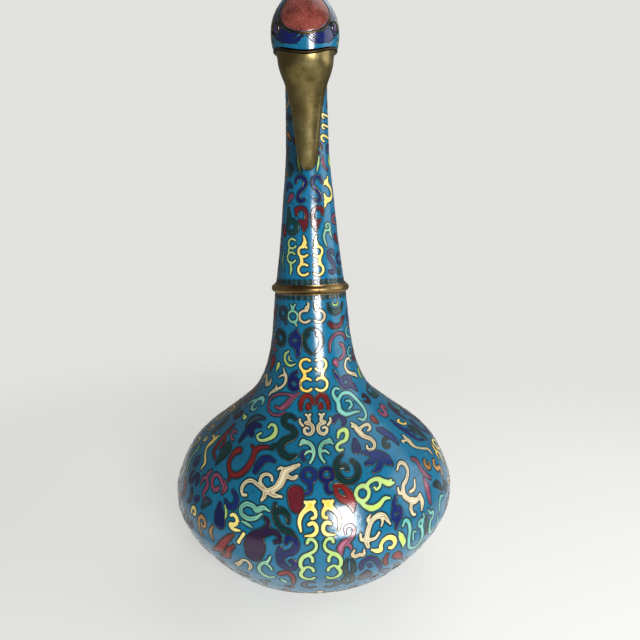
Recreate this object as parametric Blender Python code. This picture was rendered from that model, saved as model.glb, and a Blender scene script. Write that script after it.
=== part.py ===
"""Bird-headed cloisonne bottle vase: a squat round belly, a long tapering neck with a brass ring,
and a neck top that is bent over into a bird's head whose brass bill hangs down in front.

The vase is drawn as a straight turned bottle, then everything above BEND_START is bent over
forward (towards -Y) about one circular arc. Axis heights are measured along that straight bottle.
Layers from the outside in: enamel, a working gap, copper, a working gap, counter-enamel.
Origin: centre of the foot's resting face. +Z up, the bill faces -Y. Metres.
"""

import math

import bmesh
import bpy
from mathutils import Matrix, Vector

MM = 0.001

# Driving dimensions, in millimetres.
GAP = 0.3  # working gap between neighbouring pieces
ENAMEL = 1.2  # thickness of the fired enamel coat
COPPER = 1.5  # thickness of the copper wall
LINING = 0.6  # thickness of the counter-enamel inside

BEND_START = 327.0  # axis height where the neck begins to bend over
BEND_RADIUS = 22.5  # radius of the bend's centre line
BEND_TURN = math.radians(196)  # the bill ends up tucked in by 16 degrees
BILL_ROOT = BEND_START + math.pi * BEND_RADIUS  # where the bend points straight down

FOOT_TOP = 9.1
FOOT_OUTER = 48.0
FOOT_INNER = 43.5
BODY_START = 8.6  # height where the enamel ends just outside the foot
EQUATOR = 58.0  # height of the seam between the two halves of the copper belly
COLLAR = 117.0  # height of the seam between the belly and the lower neck
RING_HEIGHT = 195.3  # the ring covers the joint of the two neck sections
RING_HALF = 3.4
RING_OUTER = 26.5
RING_BULGE = 2.6
LINING_TOP = 176.0
SPIGOT_START = 180.0  # the upper neck slides down into the lower neck as far as this
SPIGOT_TAPER = 2.0  # length over which a spigot's bore widens into its tube
NAPE = 362.0  # axis height where the head is joined to the neck
NAPE_SPIGOT = 6.0
HEAD_CENTRE = 384.9
CROWN_RADIUS = 12.8
CROWN_TILT = math.radians(20)  # the crown faces forward and this much up
EYE_RADIUS = 2.6
EYE_HEIGHT = 390.0
EYE_TURN = math.radians(57)  # from the crest's middle line round to each eye
EYE_BACK = -0.75  # the bead starts this far under the skin
EYE_LEAN = 4.0  # the eyes look a little forward, away from the point this far behind them
WIRE = 0.7
BILL_LENGTH = 61.0
BILL_WALL = 1.4
BILL_GAPE = 1.9  # slit between the mandibles at the tip

GAPE_ROOT, GAPE_TIP = -1.5, -0.5  # the slit lies this far behind the bill's centre line
HOLLOW_LENGTH = 54.5  # the bill is solid beyond this

# Depths under the skin and heights that follow from the dimensions above.
COPPER_FACE = ENAMEL + GAP
COPPER_BACK = COPPER_FACE + COPPER
LINING_FACE = COPPER_BACK + GAP
BOWL_BOTTOM = FOOT_TOP + GAP
BOWL_INSIDE = BOWL_BOTTOM + COPPER
BOWL_CORNER = 1.5  # a wall turns into a flat bottom over this height
LINING_BOTTOM = BOWL_INSIDE + GAP
ENAMEL_TOP = BILL_ROOT - WIRE - 2 * GAP

BODY_SEGMENTS = 32
NECK_SEGMENTS = 20
CROWN_SEGMENTS = 24
EYE_SEGMENTS = 12

# Outer outline of the enamel, as (radius, axis height), from the foot to the bill's root.
OUTLINE = [
    (49.0, 8.6),
    (70.0, 16.0),
    (87.6, 36.5),
    (95.1, 51.0),
    (96.0, 58.0),
    (94.8, 69.0),
    (83.6, 90.0),
    (57.0, 111.0),
    (41.2, 124.5),
    (32.4, 140.5),
    (27.6, 161.0),
    (24.7, 189.0),
    (20.3, 221.7),
    (17.1, 253.7),
    (14.6, 280.0),
    (13.9, 304.0),
    (13.6, BEND_START),
    (13.7, 350.0),
    (14.8, 362.0),
    (17.6, 372.5),
    (19.2, 384.0),
    (18.2, 393.0),
    (15.9, BILL_ROOT),
]

# Axis heights of the skin's rows: close together where it curves.
STATIONS = [8.6, 18, 31, 44.5, 58, 71, 84, 97, 111, 124.5, 140.5, 161, 189, 210, 237, 268, 304]
STATIONS += [BEND_START, 334, 340, 346, 352, 357, NAPE, 367, 372.5, 378, 383.5, 389, 394, BILL_ROOT]

# Half widths of the bill, as (distance from its root, half width).
BILL = [
    (0.0, 15.9),
    (4.5, 15.3),
    (9.0, 14.0),
    (14.5, 11.9),
    (24.0, 9.6),
    (36.0, 8.0),
    (46.5, 6.9),
    (54.5, 5.7),
    (59.0, 3.8),
    (60.6, 1.8),
]
BILL_FRONT = 0.82  # depth of the bill's ridge side, as a share of its half width
BILL_BACK = 0.62  # depth of its throat side
THROAT = 0.76  # the head's throat side is this much shallower than its crest
THROAT_START, THROAT_END = 350.0, 375.0  # axis heights between which the throat flattens
BILL_BLEND = 14.0  # the bill's round root has its final section this far down

COLOURS = {
    "enamel_azure": ((0.008, 0.19, 0.40), 0.15, 0.0),
    "enamel_red": ((0.24, 0.045, 0.03), 0.2, 0.0),
    "enamel_navy": ((0.008, 0.012, 0.06), 0.15, 0.0),
    "enamel_lining": ((0.10, 0.22, 0.30), 0.4, 0.0),
    "copper": ((0.55, 0.27, 0.17), 0.45, 1.0),
    "gilt_brass": ((0.32, 0.25, 0.10), 0.38, 1.0),
}


def clear_scene():
    for old in list(bpy.data.objects):
        bpy.data.objects.remove(old)


def make_material(name):
    colour, roughness, metallic = COLOURS[name]
    material = bpy.data.materials.get(name) or bpy.data.materials.new(name)
    material.use_nodes = True
    shader = material.node_tree.nodes["Principled BSDF"]
    shader.inputs["Base Color"].default_value = (*colour, 1.0)
    shader.inputs["Roughness"].default_value = roughness
    shader.inputs["Metallic"].default_value = metallic
    return material


def smooth_curve(points, steps=24):
    """A Catmull-Rom curve through (radius, height) points, as a dense list."""
    ends = [
        Vector(points[0]) * 2 - Vector(points[1]),
        Vector(points[-1]) * 2 - Vector(points[-2]),
    ]
    knots = [ends[0], *map(Vector, points), ends[1]]
    curve = []
    for before, start, end, after in zip(knots, knots[1:], knots[2:], knots[3:]):
        for step in range(steps):
            t = step / steps
            curve.append(
                0.5
                * (
                    2 * start
                    + (end - before) * t
                    + (2 * before - 5 * start + 4 * end - after) * t * t
                    + (3 * start - before - 3 * end + after) * t**3
                )
            )
    curve.append(knots[-2])
    return curve


def at_height(curve, height):
    """The point of the curve at one axis height. The curve only ever climbs."""
    for low, high in zip(curve, curve[1:]):
        if height <= high[1]:
            return low.lerp(high, (height - low[1]) / (high[1] - low[1]))
    return curve[-1]


def square_in(curve):
    """For each point of the curve, the unit direction into the wall."""
    normals = []
    for i in range(len(curve)):
        along = curve[min(i + 1, len(curve) - 1)] - curve[max(i - 1, 0)]
        normals.append(Vector((-along[1], along[0])).normalized())
    return normals


# Every coat has its rows at the same stations, so that the facets of neighbours nest.
SMOOTH = smooth_curve(OUTLINE)
SKIN = [at_height(SMOOTH, height) for height in STATIONS]
INWARD = square_in(SKIN)


def under(height, depth):
    """The point at a depth under the skin, at one axis height of the skin."""
    for i in range(len(SKIN) - 1):
        low, high = SKIN[i][1], SKIN[i + 1][1]
        if height <= high:
            t = (height - low) / (high - low)
            return SKIN[i].lerp(SKIN[i + 1], t) + INWARD[i].lerp(INWARD[i + 1], t) * depth
    return SKIN[-1] + INWARD[-1] * depth


def layer_side(low, high, depth):
    heights = [low, *(h for h in STATIONS if low < h < high), high]
    return [under(height, depth) for height in heights]


def above(points, height):
    """The points that clear a flat bottom at this height."""
    return [point for point in points if point[1] > height + BOWL_CORNER]


def layer(low, high, outer, inner):
    """Closed outline of one coat between two depths under the skin."""
    return layer_side(low, high, outer) + layer_side(low, high, inner)[::-1]


def bend(point):
    """Where a point of the straight bottle goes once the neck is bent over."""
    x, y, height = point
    over = height - BEND_START * MM
    if over <= 0:
        return Vector(point)
    radius = BEND_RADIUS * MM
    turn = min(over / radius, BEND_TURN)
    straight = over - turn * radius
    forward = radius * (1 - math.cos(turn)) + straight * math.sin(turn)
    up = radius * math.sin(turn) + straight * math.cos(turn)
    # A point in front of the axis (-y) turns round with the section it belongs to.
    forward += -y * math.cos(turn)
    up += y * math.sin(turn)
    return Vector((x, -forward, BEND_START * MM + up))


def ease(value, start, end):
    """Rises smoothly from 0 at start to 1 at end."""
    t = min(max((value - start) / (end - start), 0.0), 1.0)
    return t * t * (3 - 2 * t)


def throat_share(height):
    """Depth of the throat side at an axis height in millimetres, as a share of the round skin's."""
    return 1 + (THROAT - 1) * ease(height, THROAT_START, THROAT_END)


def turned_mesh(name, outline, segments, closed=True):
    """Turns an outline of (radius, height) in millimetres round the Z axis."""
    mesh = bmesh.new()
    points = [mesh.verts.new((r * MM, 0, z * MM)) for r, z in outline]
    pairs = list(zip(points, points[1:]))
    if closed:
        pairs.append((points[-1], points[0]))
    edges = [mesh.edges.new(pair) for pair in pairs]
    bmesh.ops.spin(
        mesh,
        geom=points + edges,
        cent=(0, 0, 0),
        axis=(0, 0, 1),
        angle=math.tau,
        steps=segments,
        use_merge=True,
        use_duplicate=False,
    )
    bmesh.ops.remove_doubles(mesh, verts=mesh.verts, dist=1e-6)
    on_axis = [edge for edge in mesh.edges if not edge.link_faces]
    bmesh.ops.delete(mesh, geom=on_axis, context="EDGES")
    bmesh.ops.recalc_face_normals(mesh, faces=mesh.faces)
    data = bpy.data.meshes.new(name)
    mesh.to_mesh(data)
    mesh.free()
    return data


def place(name, data, material, parent, location=(0, 0, 0)):
    data.shade_smooth()
    data.set_sharp_from_angle(angle=math.radians(40))
    piece = bpy.data.objects.new(name, data)
    piece.location = location
    piece.parent = parent
    piece.data.materials.append(make_material(material))
    bpy.context.scene.collection.objects.link(piece)
    return piece


def shape_neck(data):
    """Flattens the throat, then bends the straight neck over."""
    for vertex in data.vertices:
        x, y, height = vertex.co
        if y < 0:
            y *= throat_share(height / MM)
        vertex.co = bend((x, y, height))


def cut(piece, cutter, operation="DIFFERENCE"):
    modifier = piece.modifiers.new(operation.lower(), "BOOLEAN")
    modifier.operation = operation
    modifier.object = cutter
    modifier.solver = "EXACT"


def hidden_cutter(name, data, matrix):
    cutter = bpy.data.objects.new(name, data)
    cutter.matrix_world = matrix
    cutter.hide_render = True
    cutter.display_type = "WIRE"
    bpy.context.scene.collection.objects.link(cutter)
    return cutter


def cylinder_mesh(name, radius, low, high, segments):
    """A plain round bar from height low to high, in millimetres."""
    outline = [(0, low), (radius, low), (radius, high), (0, high)]
    return turned_mesh(name, outline, segments, closed=False)


def turned(name, outline, material, parent, segments=BODY_SEGMENTS, closed=True, height=0.0):
    data = turned_mesh(name, outline, segments, closed)
    return place(name, data, material, parent, (0, 0, height * MM))


def bent(name, outline, material, parent, closed=True):
    data = turned_mesh(name, outline, NECK_SEGMENTS, closed)
    shape_neck(data)
    return place(name, data, material, parent)


# --- belly -----------------------------------------------------------------------------


def make_body(vase):
    enamel_end = RING_HEIGHT - RING_HALF - GAP
    turned("body_enamel", layer(BODY_START, enamel_end, 0, ENAMEL), "enamel_azure", vase)

    # The lower half is a closed bowl with a flat bottom over the foot.
    wall = layer_side(BODY_START, EQUATOR, COPPER_FACE)
    back = above(layer_side(BODY_START, EQUATOR, COPPER_BACK), BOWL_INSIDE)
    bowl = [(0, BOWL_BOTTOM), (FOOT_OUTER - 1, BOWL_BOTTOM), *wall]
    bowl += [*back[::-1], (FOOT_OUTER, BOWL_INSIDE), (0, BOWL_INSIDE)]
    turned("lower_bowl", bowl, "copper", vase, closed=False)

    shoulder = layer(EQUATOR + GAP, COLLAR, COPPER_FACE, COPPER_BACK)
    turned("shoulder_shell", shoulder, "copper", vase)
    lower_neck = layer(COLLAR + GAP, RING_HEIGHT, COPPER_FACE, COPPER_BACK)
    turned("lower_neck_tube", lower_neck, "copper", vase)

    floor = LINING_BOTTOM + LINING
    wall = above(layer_side(BODY_START, LINING_TOP, LINING_FACE), LINING_BOTTOM)
    back = above(layer_side(BODY_START, LINING_TOP, LINING_FACE + LINING), floor)
    cup = [(0, LINING_BOTTOM), (FOOT_OUTER, LINING_BOTTOM), *wall]
    cup += [*back[::-1], (FOOT_OUTER, floor), (0, floor)]
    turned("body_lining", cup, "enamel_lining", vase, closed=False)


def make_foot(vase):
    profile = [
        (FOOT_INNER, 0),
        (FOOT_OUTER - 0.8, 0),
        (FOOT_OUTER, 0.8),
        (FOOT_OUTER, 2.2),
        (FOOT_OUTER - 1.6, 5.0),
        (FOOT_OUTER - 1.0, 8.2),
        (FOOT_OUTER - 1.0, FOOT_TOP),
        (FOOT_INNER, FOOT_TOP),
    ]
    turned("foot_ring", profile, "gilt_brass", vase)
    radius = FOOT_INNER - GAP
    disc = [(0, -ENAMEL), (radius, -ENAMEL), (radius, 0), (0, 0)]
    turned("base_enamel", disc, "enamel_azure", vase, closed=False, height=FOOT_TOP)


# --- neck ------------------------------------------------------------------------------


def make_neck_ring(vase):
    """Half-round moulding over the joint of the two neck sections."""
    bore = under(RING_HEIGHT - RING_HALF, COPPER_FACE)[0] + GAP
    profile = [(bore, -RING_HALF), (bore, RING_HALF)]
    for step in range(7):
        angle = math.pi / 2 - math.pi * step / 6
        bulge = RING_OUTER - RING_BULGE + RING_BULGE * math.cos(angle)
        profile.append((bulge, RING_HALF * math.sin(angle)))
    turned("neck_ring", profile, "gilt_brass", vase, height=RING_HEIGHT)


def make_upper_neck(vase):
    """One enamel coat from the ring to the bill, over a copper tube that ends at the nape."""
    coat = layer(RING_HEIGHT + RING_HALF + GAP, ENAMEL_TOP, 0, ENAMEL)
    enamel = bent("neck_enamel", coat, "enamel_azure", vase)

    # The copper tube's reduced end slides into the lower neck.
    start = RING_HEIGHT + GAP
    outer = layer_side(start, NAPE - GAP, COPPER_FACE)
    inner = layer_side(start + SPIGOT_TAPER, NAPE - GAP, COPPER_BACK)
    spigot = under(RING_HEIGHT, COPPER_BACK)[0] - GAP
    bore = spigot - COPPER
    tube = [(spigot, SPIGOT_START), (spigot, start), *outer, *inner[::-1]]
    tube += [(bore, start), (bore, SPIGOT_START)]
    bent("neck_tube", tube, "copper", vase)
    return enamel


# --- head ------------------------------------------------------------------------------


def aim(centre, direction):
    """A matrix that stands a piece made along +Z at centre, along direction."""
    return Matrix.Translation(centre) @ direction.to_track_quat("Z", "Y").to_matrix().to_4x4()


def band_mesh(name, bore, low, high, segments):
    """A round wire band of the wires' thickness, from height low to high."""
    outline = [(bore, low), (bore + WIRE, low), (bore + WIRE, high), (bore, high)]
    return turned_mesh(name, outline, segments)


def make_head(vase, enamel):
    outer = layer_side(NAPE + GAP, ENAMEL_TOP, COPPER_FACE)
    inner = layer_side(NAPE + GAP + SPIGOT_TAPER, ENAMEL_TOP, COPPER_BACK)
    start = NAPE - NAPE_SPIGOT
    sleeve = under(start, COPPER_BACK)[0] - GAP
    bore = sleeve - COPPER
    shell = [(sleeve, start), (sleeve, NAPE + GAP), *outer, *inner[::-1]]
    shell += [(bore, NAPE + GAP), (bore, start)]
    bent("head_shell", shell, "copper", vase)
    make_crown(vase, enamel)
    for side, name in ((-1, "left"), (1, "right")):
        make_eye(vase, enamel, side, name)


def make_crown(vase, enamel):
    """A red cap let into the coat, with a wire round it. Both are cut from the coat's own shape."""
    coat = layer(NAPE + GAP, ENAMEL_TOP, 0, ENAMEL)
    crown = bent("crown_enamel", coat, "enamel_red", vase)
    wire = bent("crown_wire", coat, "gilt_brass", vase)
    facing = Vector((0, -math.cos(CROWN_TILT), math.sin(CROWN_TILT)))
    stand = aim(bend((0, 0, HEAD_CENTRE * MM)), facing)
    near, far = 4, 30  # the cutters reach from inside the head to well outside it
    cap = cylinder_mesh("crown_cap", CROWN_RADIUS, near, far, CROWN_SEGMENTS)
    cut(crown, hidden_cutter("crown_cap", cap, stand), "INTERSECT")
    band = band_mesh("crown_band", CROWN_RADIUS + GAP, near, far, CROWN_SEGMENTS)
    cut(wire, hidden_cutter("crown_band", band, stand), "INTERSECT")
    clear = CROWN_RADIUS + WIRE + 2 * GAP
    hole = cylinder_mesh("crown_hole", clear, near, far, CROWN_SEGMENTS)
    cut(enamel, hidden_cutter("crown_hole", hole, stand))


def make_eye(vase, enamel, side, name):
    """A domed enamel bead with its wire ring, set through the coat on one side of the head."""
    radius, height = under(EYE_HEIGHT, 0)
    across, out = side * math.sin(EYE_TURN), math.cos(EYE_TURN)
    surface = bend((across * radius * MM, out * radius * MM, height * MM))
    core = bend((0, 0, (height - EYE_LEAN) * MM))
    stand = aim(surface, (surface - core).normalized())
    clear = EYE_RADIUS + WIRE + 2 * GAP
    hole = cylinder_mesh("eye_hole_" + name, clear, -6, 4, EYE_SEGMENTS)
    cut(enamel, hidden_cutter("eye_hole_" + name, hole, stand))
    dome = [(0, EYE_BACK), (EYE_RADIUS, EYE_BACK), (EYE_RADIUS, 0.2)]
    dome += [(EYE_RADIUS * 0.62, 0.75), (0, 0.95)]
    bead = turned_mesh("eye_" + name, dome, EYE_SEGMENTS, closed=False)
    band = band_mesh("eye_wire_" + name, EYE_RADIUS + GAP, EYE_BACK, 0.45, EYE_SEGMENTS)
    for data, material in ((bead, "enamel_navy"), (band, "gilt_brass")):
        piece = place(data.name, data, material, vase)
        piece.matrix_world = stand


# --- bill ------------------------------------------------------------------------------


def bill_side(wall, length):
    """Half of the bill's outline, set in by wall, as (half width, axis height)."""
    return [(width - wall, BILL_ROOT + along) for along, width in BILL if along <= length]


def shape_bill(data):
    """The bill is round at its root and shallower than it is wide further down."""
    for vertex in data.vertices:
        x, y, height = vertex.co
        t = ease(height / MM, BILL_ROOT, BILL_ROOT + BILL_BLEND)
        root, end = (THROAT, BILL_BACK) if y < 0 else (1.0, BILL_FRONT)
        vertex.co = bend((x, y * (root + (end - root) * t), height))


def mandible_cutter(name, front):
    """A block on one side of the gape, drawn along the straight bill and bent with it."""
    half = 20.0
    steps = 12
    block = bmesh.new()
    rows = []
    for step in range(steps + 1):
        along = -2.0 + (BILL_LENGTH + 6.0) * step / steps
        down = min(max(along / BILL_LENGTH, 0), 1)
        opening = (GAP + (BILL_GAPE - GAP) * down) / 2
        gape = GAPE_ROOT + (GAPE_TIP - GAPE_ROOT) * down
        near = gape + opening if front else gape - opening
        # The inner block stops short of the bend's centre, where it would fold over itself.
        far = near + 30.0 if front else 1.0 - BEND_RADIUS
        height = (BILL_ROOT + along) * MM
        corners = [(-half, near), (half, near), (half, far), (-half, far)]
        rows.append([block.verts.new(bend((x * MM, y * MM, height))) for x, y in corners])
    for low, high in zip(rows, rows[1:]):
        for i in range(4):
            block.faces.new((low[i], low[(i + 1) % 4], high[(i + 1) % 4], high[i]))
    block.faces.new(rows[0][::-1])
    block.faces.new(rows[-1])
    bmesh.ops.recalc_face_normals(block, faces=block.faces)
    data = bpy.data.meshes.new(name)
    block.to_mesh(data)
    block.free()
    return hidden_cutter(name, data, Matrix.Identity(4))


def make_bill(vase):
    """Two cast brass mandibles, hollow, with a narrow pouring slit between them."""
    outer = [*bill_side(0, BILL_LENGTH), (0, BILL_ROOT + BILL_LENGTH)]
    inner = [*bill_side(BILL_WALL, HOLLOW_LENGTH), (0, BILL_ROOT + HOLLOW_LENGTH + 1)]
    for name, front in (("bill_upper", True), ("bill_lower", False)):
        data = turned_mesh(name, outer + inner[::-1], NECK_SEGMENTS)
        shape_bill(data)
        piece = place(name, data, "gilt_brass", vase)
        cut(piece, mandible_cutter(name + "_side", front), "INTERSECT")

    low, high = ENAMEL_TOP + GAP, ENAMEL_TOP + GAP + WIRE
    bore, rim = under(ENAMEL_TOP, COPPER_BACK)[0], under(ENAMEL_TOP, 0)[0]
    bent("bill_wire", [(bore, low), (rim, low), (rim, high), (bore, high)], "gilt_brass", vase)


def main():
    clear_scene()
    vase = bpy.data.objects.new("vase", None)
    bpy.context.scene.collection.objects.link(vase)
    make_body(vase)
    make_foot(vase)
    make_neck_ring(vase)
    enamel = make_upper_neck(vase)
    make_head(vase, enamel)
    make_bill(vase)


main()
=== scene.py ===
"""Surface, wires, enamels and brass of a bird-headed cloisonne bottle vase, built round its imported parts.

The skin is drawn as a straight turned bottle that is then bent over into the bird's head, as the
parts are. A place on it is given by the angle round the axis, from the front towards +X, and by
the length along the skin from the foot, so a scroll is drawn flat, in millimetres, and laid on.
"""

import math
import random

import bmesh
import bpy
import numpy as np
from bpy.props import FloatProperty, FloatVectorProperty, IntProperty, PointerProperty
from mathutils import Matrix, Vector


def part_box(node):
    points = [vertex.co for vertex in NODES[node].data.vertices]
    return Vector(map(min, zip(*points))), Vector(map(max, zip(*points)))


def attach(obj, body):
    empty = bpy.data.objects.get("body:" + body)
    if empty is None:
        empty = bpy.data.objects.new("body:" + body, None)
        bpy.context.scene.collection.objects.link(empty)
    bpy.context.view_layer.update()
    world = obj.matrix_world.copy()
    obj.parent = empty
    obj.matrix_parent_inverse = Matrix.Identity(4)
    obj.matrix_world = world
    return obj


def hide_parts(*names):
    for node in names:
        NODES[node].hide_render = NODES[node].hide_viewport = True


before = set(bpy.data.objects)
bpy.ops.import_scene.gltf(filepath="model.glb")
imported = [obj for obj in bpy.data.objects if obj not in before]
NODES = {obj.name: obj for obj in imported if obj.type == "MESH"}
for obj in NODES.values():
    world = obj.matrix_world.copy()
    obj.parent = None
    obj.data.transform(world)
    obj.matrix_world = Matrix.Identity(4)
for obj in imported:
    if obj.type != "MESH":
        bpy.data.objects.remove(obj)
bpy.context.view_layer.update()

bl_info = {
    "name": "Cloisonne bird vase",
    "version": (1, 0, 0),
    "blender": (4, 5, 0),
    "location": "View3D > Sidebar > Bird vase",
    "description": "Models the enamel scrolls, wires and brass of a bird-headed cloisonne bottle vase",
    "category": "Object",
}

MM = 0.001
BODY = "root"

# --- the skin --------------------------------------------------------------------------

BEND_START = 327.0
BEND_RADIUS = 22.5
BEND_TURN = math.radians(196)
BILL_ROOT = BEND_START + math.pi * BEND_RADIUS
THROAT = 0.76
THROAT_START, THROAT_END = 350.0, 375.0
BELLY_RADIUS = 96.0
RING_HEIGHT = 195.3
RING_HALF = 3.4
RING_GAP = 0.3
BODY_START = 8.6
ENAMEL_TOP = BILL_ROOT - 1.3

# Outer outline of the enamel, as (radius, axis height) in millimetres.
OUTLINE = [
    (49.0, BODY_START),
    (70.0, 16.0),
    (87.6, 36.5),
    (95.1, 51.0),
    (BELLY_RADIUS, 58.0),
    (94.8, 69.0),
    (83.6, 90.0),
    (57.0, 111.0),
    (41.2, 124.5),
    (32.4, 140.5),
    (27.6, 161.0),
    (24.7, 189.0),
    (20.3, 221.7),
    (17.1, 253.7),
    (14.6, 280.0),
    (13.9, 304.0),
    (13.6, BEND_START),
    (13.7, 350.0),
    (14.8, 362.0),
    (17.6, 372.5),
    (19.2, 384.0),
    (18.2, 393.0),
    (15.9, BILL_ROOT),
    (15.55, BILL_ROOT + 3.5),
]

# The bill: half widths as (distance from its root, half width), and how it opens.
BILL_LENGTH = 61.0
BILL = [
    (-4.7, 18.1),
    (0.0, 15.9),
    (4.5, 15.3),
    (9.0, 14.0),
    (14.5, 11.9),
    (24.0, 9.6),
    (36.0, 8.0),
    (46.5, 6.9),
    (54.5, 5.7),
    (59.0, 3.8),
    (60.6, 1.8),
    (BILL_LENGTH, 0.05),
]
BILL_FRONT, BILL_BACK = 0.82, 0.62
BILL_BLEND = 14.0
BILL_GAPE = 1.9
GAPE_ROOT, GAPE_TIP = -1.5, -0.5

# The seam between enamel and bill runs on at the crest and is drawn back at the throat.
SEAM_CREST, SEAM_THROAT = 2.5, -3.6
SEAM_START = ENAMEL_TOP - 20
SEAM_REACH = 24.0

HEAD_CENTRE = 384.9
HEAD_STRETCH = 1.8  # the crest's side of the bend is this much longer than its middle line
CROWN_RADIUS = 12.8
CROWN_TILT = math.radians(20)
EYE_RADIUS = 2.6
EYE_HEIGHT = 390.0
EYE_TURN = math.radians(57)
EYE_LEAN = 4.0
EYE_BACK = -0.75
FOOT_INNER = 43.5
INNER_COPPER = ("lower_bowl", "shoulder_shell", "lower_neck_tube", "neck_tube", "head_shell")

# Where the camera stands, in metres, and its turns in degrees: round the vase, right, down, roll.
CAMERA_REACH, CAMERA_HEIGHT = 0.331, 0.225
CAMERA_TURNS = (0.0, 1.08, 9.09, 1.03)

# The floor fades away between these distances, in metres.
FLOOR_FADE, FLOOR_RADIUS = 0.24, 0.75
FLOOR_GLOW = 0.58
FLOOR_DROP = 0.0001

# Depths of the finished surfaces under the drawn skin, in millimetres.
GROUND_DEPTH = 0.12
CELL_DEPTH = 0.08
WIRE_DEPTH = 0.01
CURL_DEPTH = 0.07
# Painted shade: the ground beside the wires is darkened as the wires' shadow, with some copper stain.
SHADE_WIDTH = 1.1  # the ground is darker this far from the wires
SHADE_LIFT = 0.01


def smooth_path(points, steps):
    """A Catmull-Rom curve through the points, as an array with steps rows for each stretch."""
    points = np.array(points, float)
    knots = np.vstack([2 * points[0] - points[1], points, 2 * points[-1] - points[-2]])
    t = (np.arange(steps) / steps)[:, None]
    rows = []
    for before, start, end, after in zip(knots, knots[1:], knots[2:], knots[3:]):
        rows.append(
            0.5
            * (
                2 * start
                + (end - before) * t
                + (2 * before - 5 * start + 4 * end - after) * t**2
                + (3 * start - before - 3 * end + after) * t**3
            )
        )
    return np.vstack([*rows, points[-1:]])


def lengths(path):
    """Length along a path at each of its points."""
    return np.concatenate([[0], np.cumsum(np.linalg.norm(np.diff(path, axis=0), axis=1))])


SKIN = smooth_path(OUTLINE, 24)
ALONG = lengths(SKIN)
SLOPE = np.gradient(SKIN, ALONG, axis=0)
OUTWARD = np.stack([SLOPE[:, 1], -SLOPE[:, 0]], axis=1)
BILL_CURVE = smooth_path(BILL, 16)


def skin_length(height):
    return float(np.interp(height, SKIN[:, 1], ALONG))


def skin_radius(along):
    return np.interp(along, ALONG, SKIN[:, 0])


def ease(value, start, end):
    t = np.clip((value - start) / (end - start), 0, 1)
    return t * t * (3 - 2 * t)


def bend(x, y, height):
    """Where points of the straight bottle go once the neck is bent over, all in millimetres."""
    turn = np.clip((height - BEND_START) / BEND_RADIUS, 0, BEND_TURN)
    straight = height - BEND_START - turn * BEND_RADIUS
    # Below the bend, turn is zero and straight is the height left over.
    forward = BEND_RADIUS * (1 - np.cos(turn)) + straight * np.sin(turn) - y * np.cos(turn)
    up = BEND_RADIUS * np.sin(turn) + straight * np.cos(turn) + y * np.sin(turn)
    return np.stack([x, -forward, BEND_START + up], axis=-1)


def flatten_throat(y, height):
    share = 1 + (THROAT - 1) * ease(height, THROAT_START, THROAT_END)
    return np.where(y < 0, y * share, y)


def seam_shift(x, y):
    """How far the seam of the bill runs on, on the side of the head where x and y lie."""
    side = (1 + y / np.hypot(x, y)) / 2
    return SEAM_THROAT + (SEAM_CREST - SEAM_THROAT) * side**2


def draw_to_seam(x, y, height):
    """Draws the end of the enamel along the skin to where the seam runs."""
    moved = height + seam_shift(x, y) * ease(height, SEAM_START, ENAMEL_TOP)
    ratio = np.interp(moved, SKIN[:, 1], SKIN[:, 0]) / np.interp(height, SKIN[:, 1], SKIN[:, 0])
    return x * ratio, y * ratio, moved


def wrap(angle, along, out):
    """Points on the finished vase, in metres: angle in degrees from the front, the length along
    the skin and the height above it in millimetres."""
    radius = np.interp(along, ALONG, SKIN[:, 0]) + out * np.interp(along, ALONG, OUTWARD[:, 0])
    height = np.interp(along, ALONG, SKIN[:, 1]) + out * np.interp(along, ALONG, OUTWARD[:, 1])
    angle = np.radians(angle)
    y = flatten_throat(-radius * np.cos(angle), height)
    return bend(radius * np.sin(angle), y, height) * MM


def above_skin(points):
    """How far points of the finished head, in millimetres, lie outside the skin."""
    x, forward, up = points[:, 0], -points[:, 1], points[:, 2] - BEND_START
    reach = np.hypot(BEND_RADIUS - forward, up)
    y = reach - BEND_RADIUS
    height = BEND_START + np.arctan2(up, BEND_RADIUS - forward) * BEND_RADIUS
    share = 1 + (THROAT - 1) * ease(height, THROAT_START, THROAT_END)
    y = np.where(y < 0, y / share, y)
    return np.hypot(x, y) - np.interp(height, SKIN[:, 1], SKIN[:, 0])


def drop_on_skin(points, direction, out):
    """Moves points along direction until they lie out millimetres above the skin of the head."""
    near, far = np.zeros(len(points)), np.full(len(points), 34.0)
    for _ in range(30):
        middle = (near + far) / 2
        outside = above_skin(points + middle[:, None] * direction) > out
        far = np.where(outside, middle, far)
        near = np.where(outside, near, middle)
    return points + near[:, None] * direction


# --- shader maths ----------------------------------------------------------------------


class Socket:
    """An output of a shader node, on which Python's arithmetic adds Math nodes."""

    def __init__(self, paint, link):
        self.paint = paint
        self.link = link

    def maths(self, operation, *values):
        inputs = dict(enumerate(values))
        return self.paint.node("ShaderNodeMath", inputs, operation=operation)

    def __add__(self, other):
        return self.maths("ADD", self, other)

    def __radd__(self, other):
        return self.maths("ADD", other, self)

    def __sub__(self, other):
        return self.maths("SUBTRACT", self, other)

    def __rsub__(self, other):
        return self.maths("SUBTRACT", other, self)

    def __mul__(self, other):
        return self.maths("MULTIPLY", self, other)

    def __rmul__(self, other):
        return self.maths("MULTIPLY", other, self)

    def __truediv__(self, other):
        return self.maths("DIVIDE", self, other)

    def step(self, low, high):
        """Rises smoothly from 0 at low to 1 at high."""
        inputs = {"Value": self, "From Min": low, "From Max": high}
        return self.paint.node("ShaderNodeMapRange", inputs, interpolation_type="SMOOTHSTEP")


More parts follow.
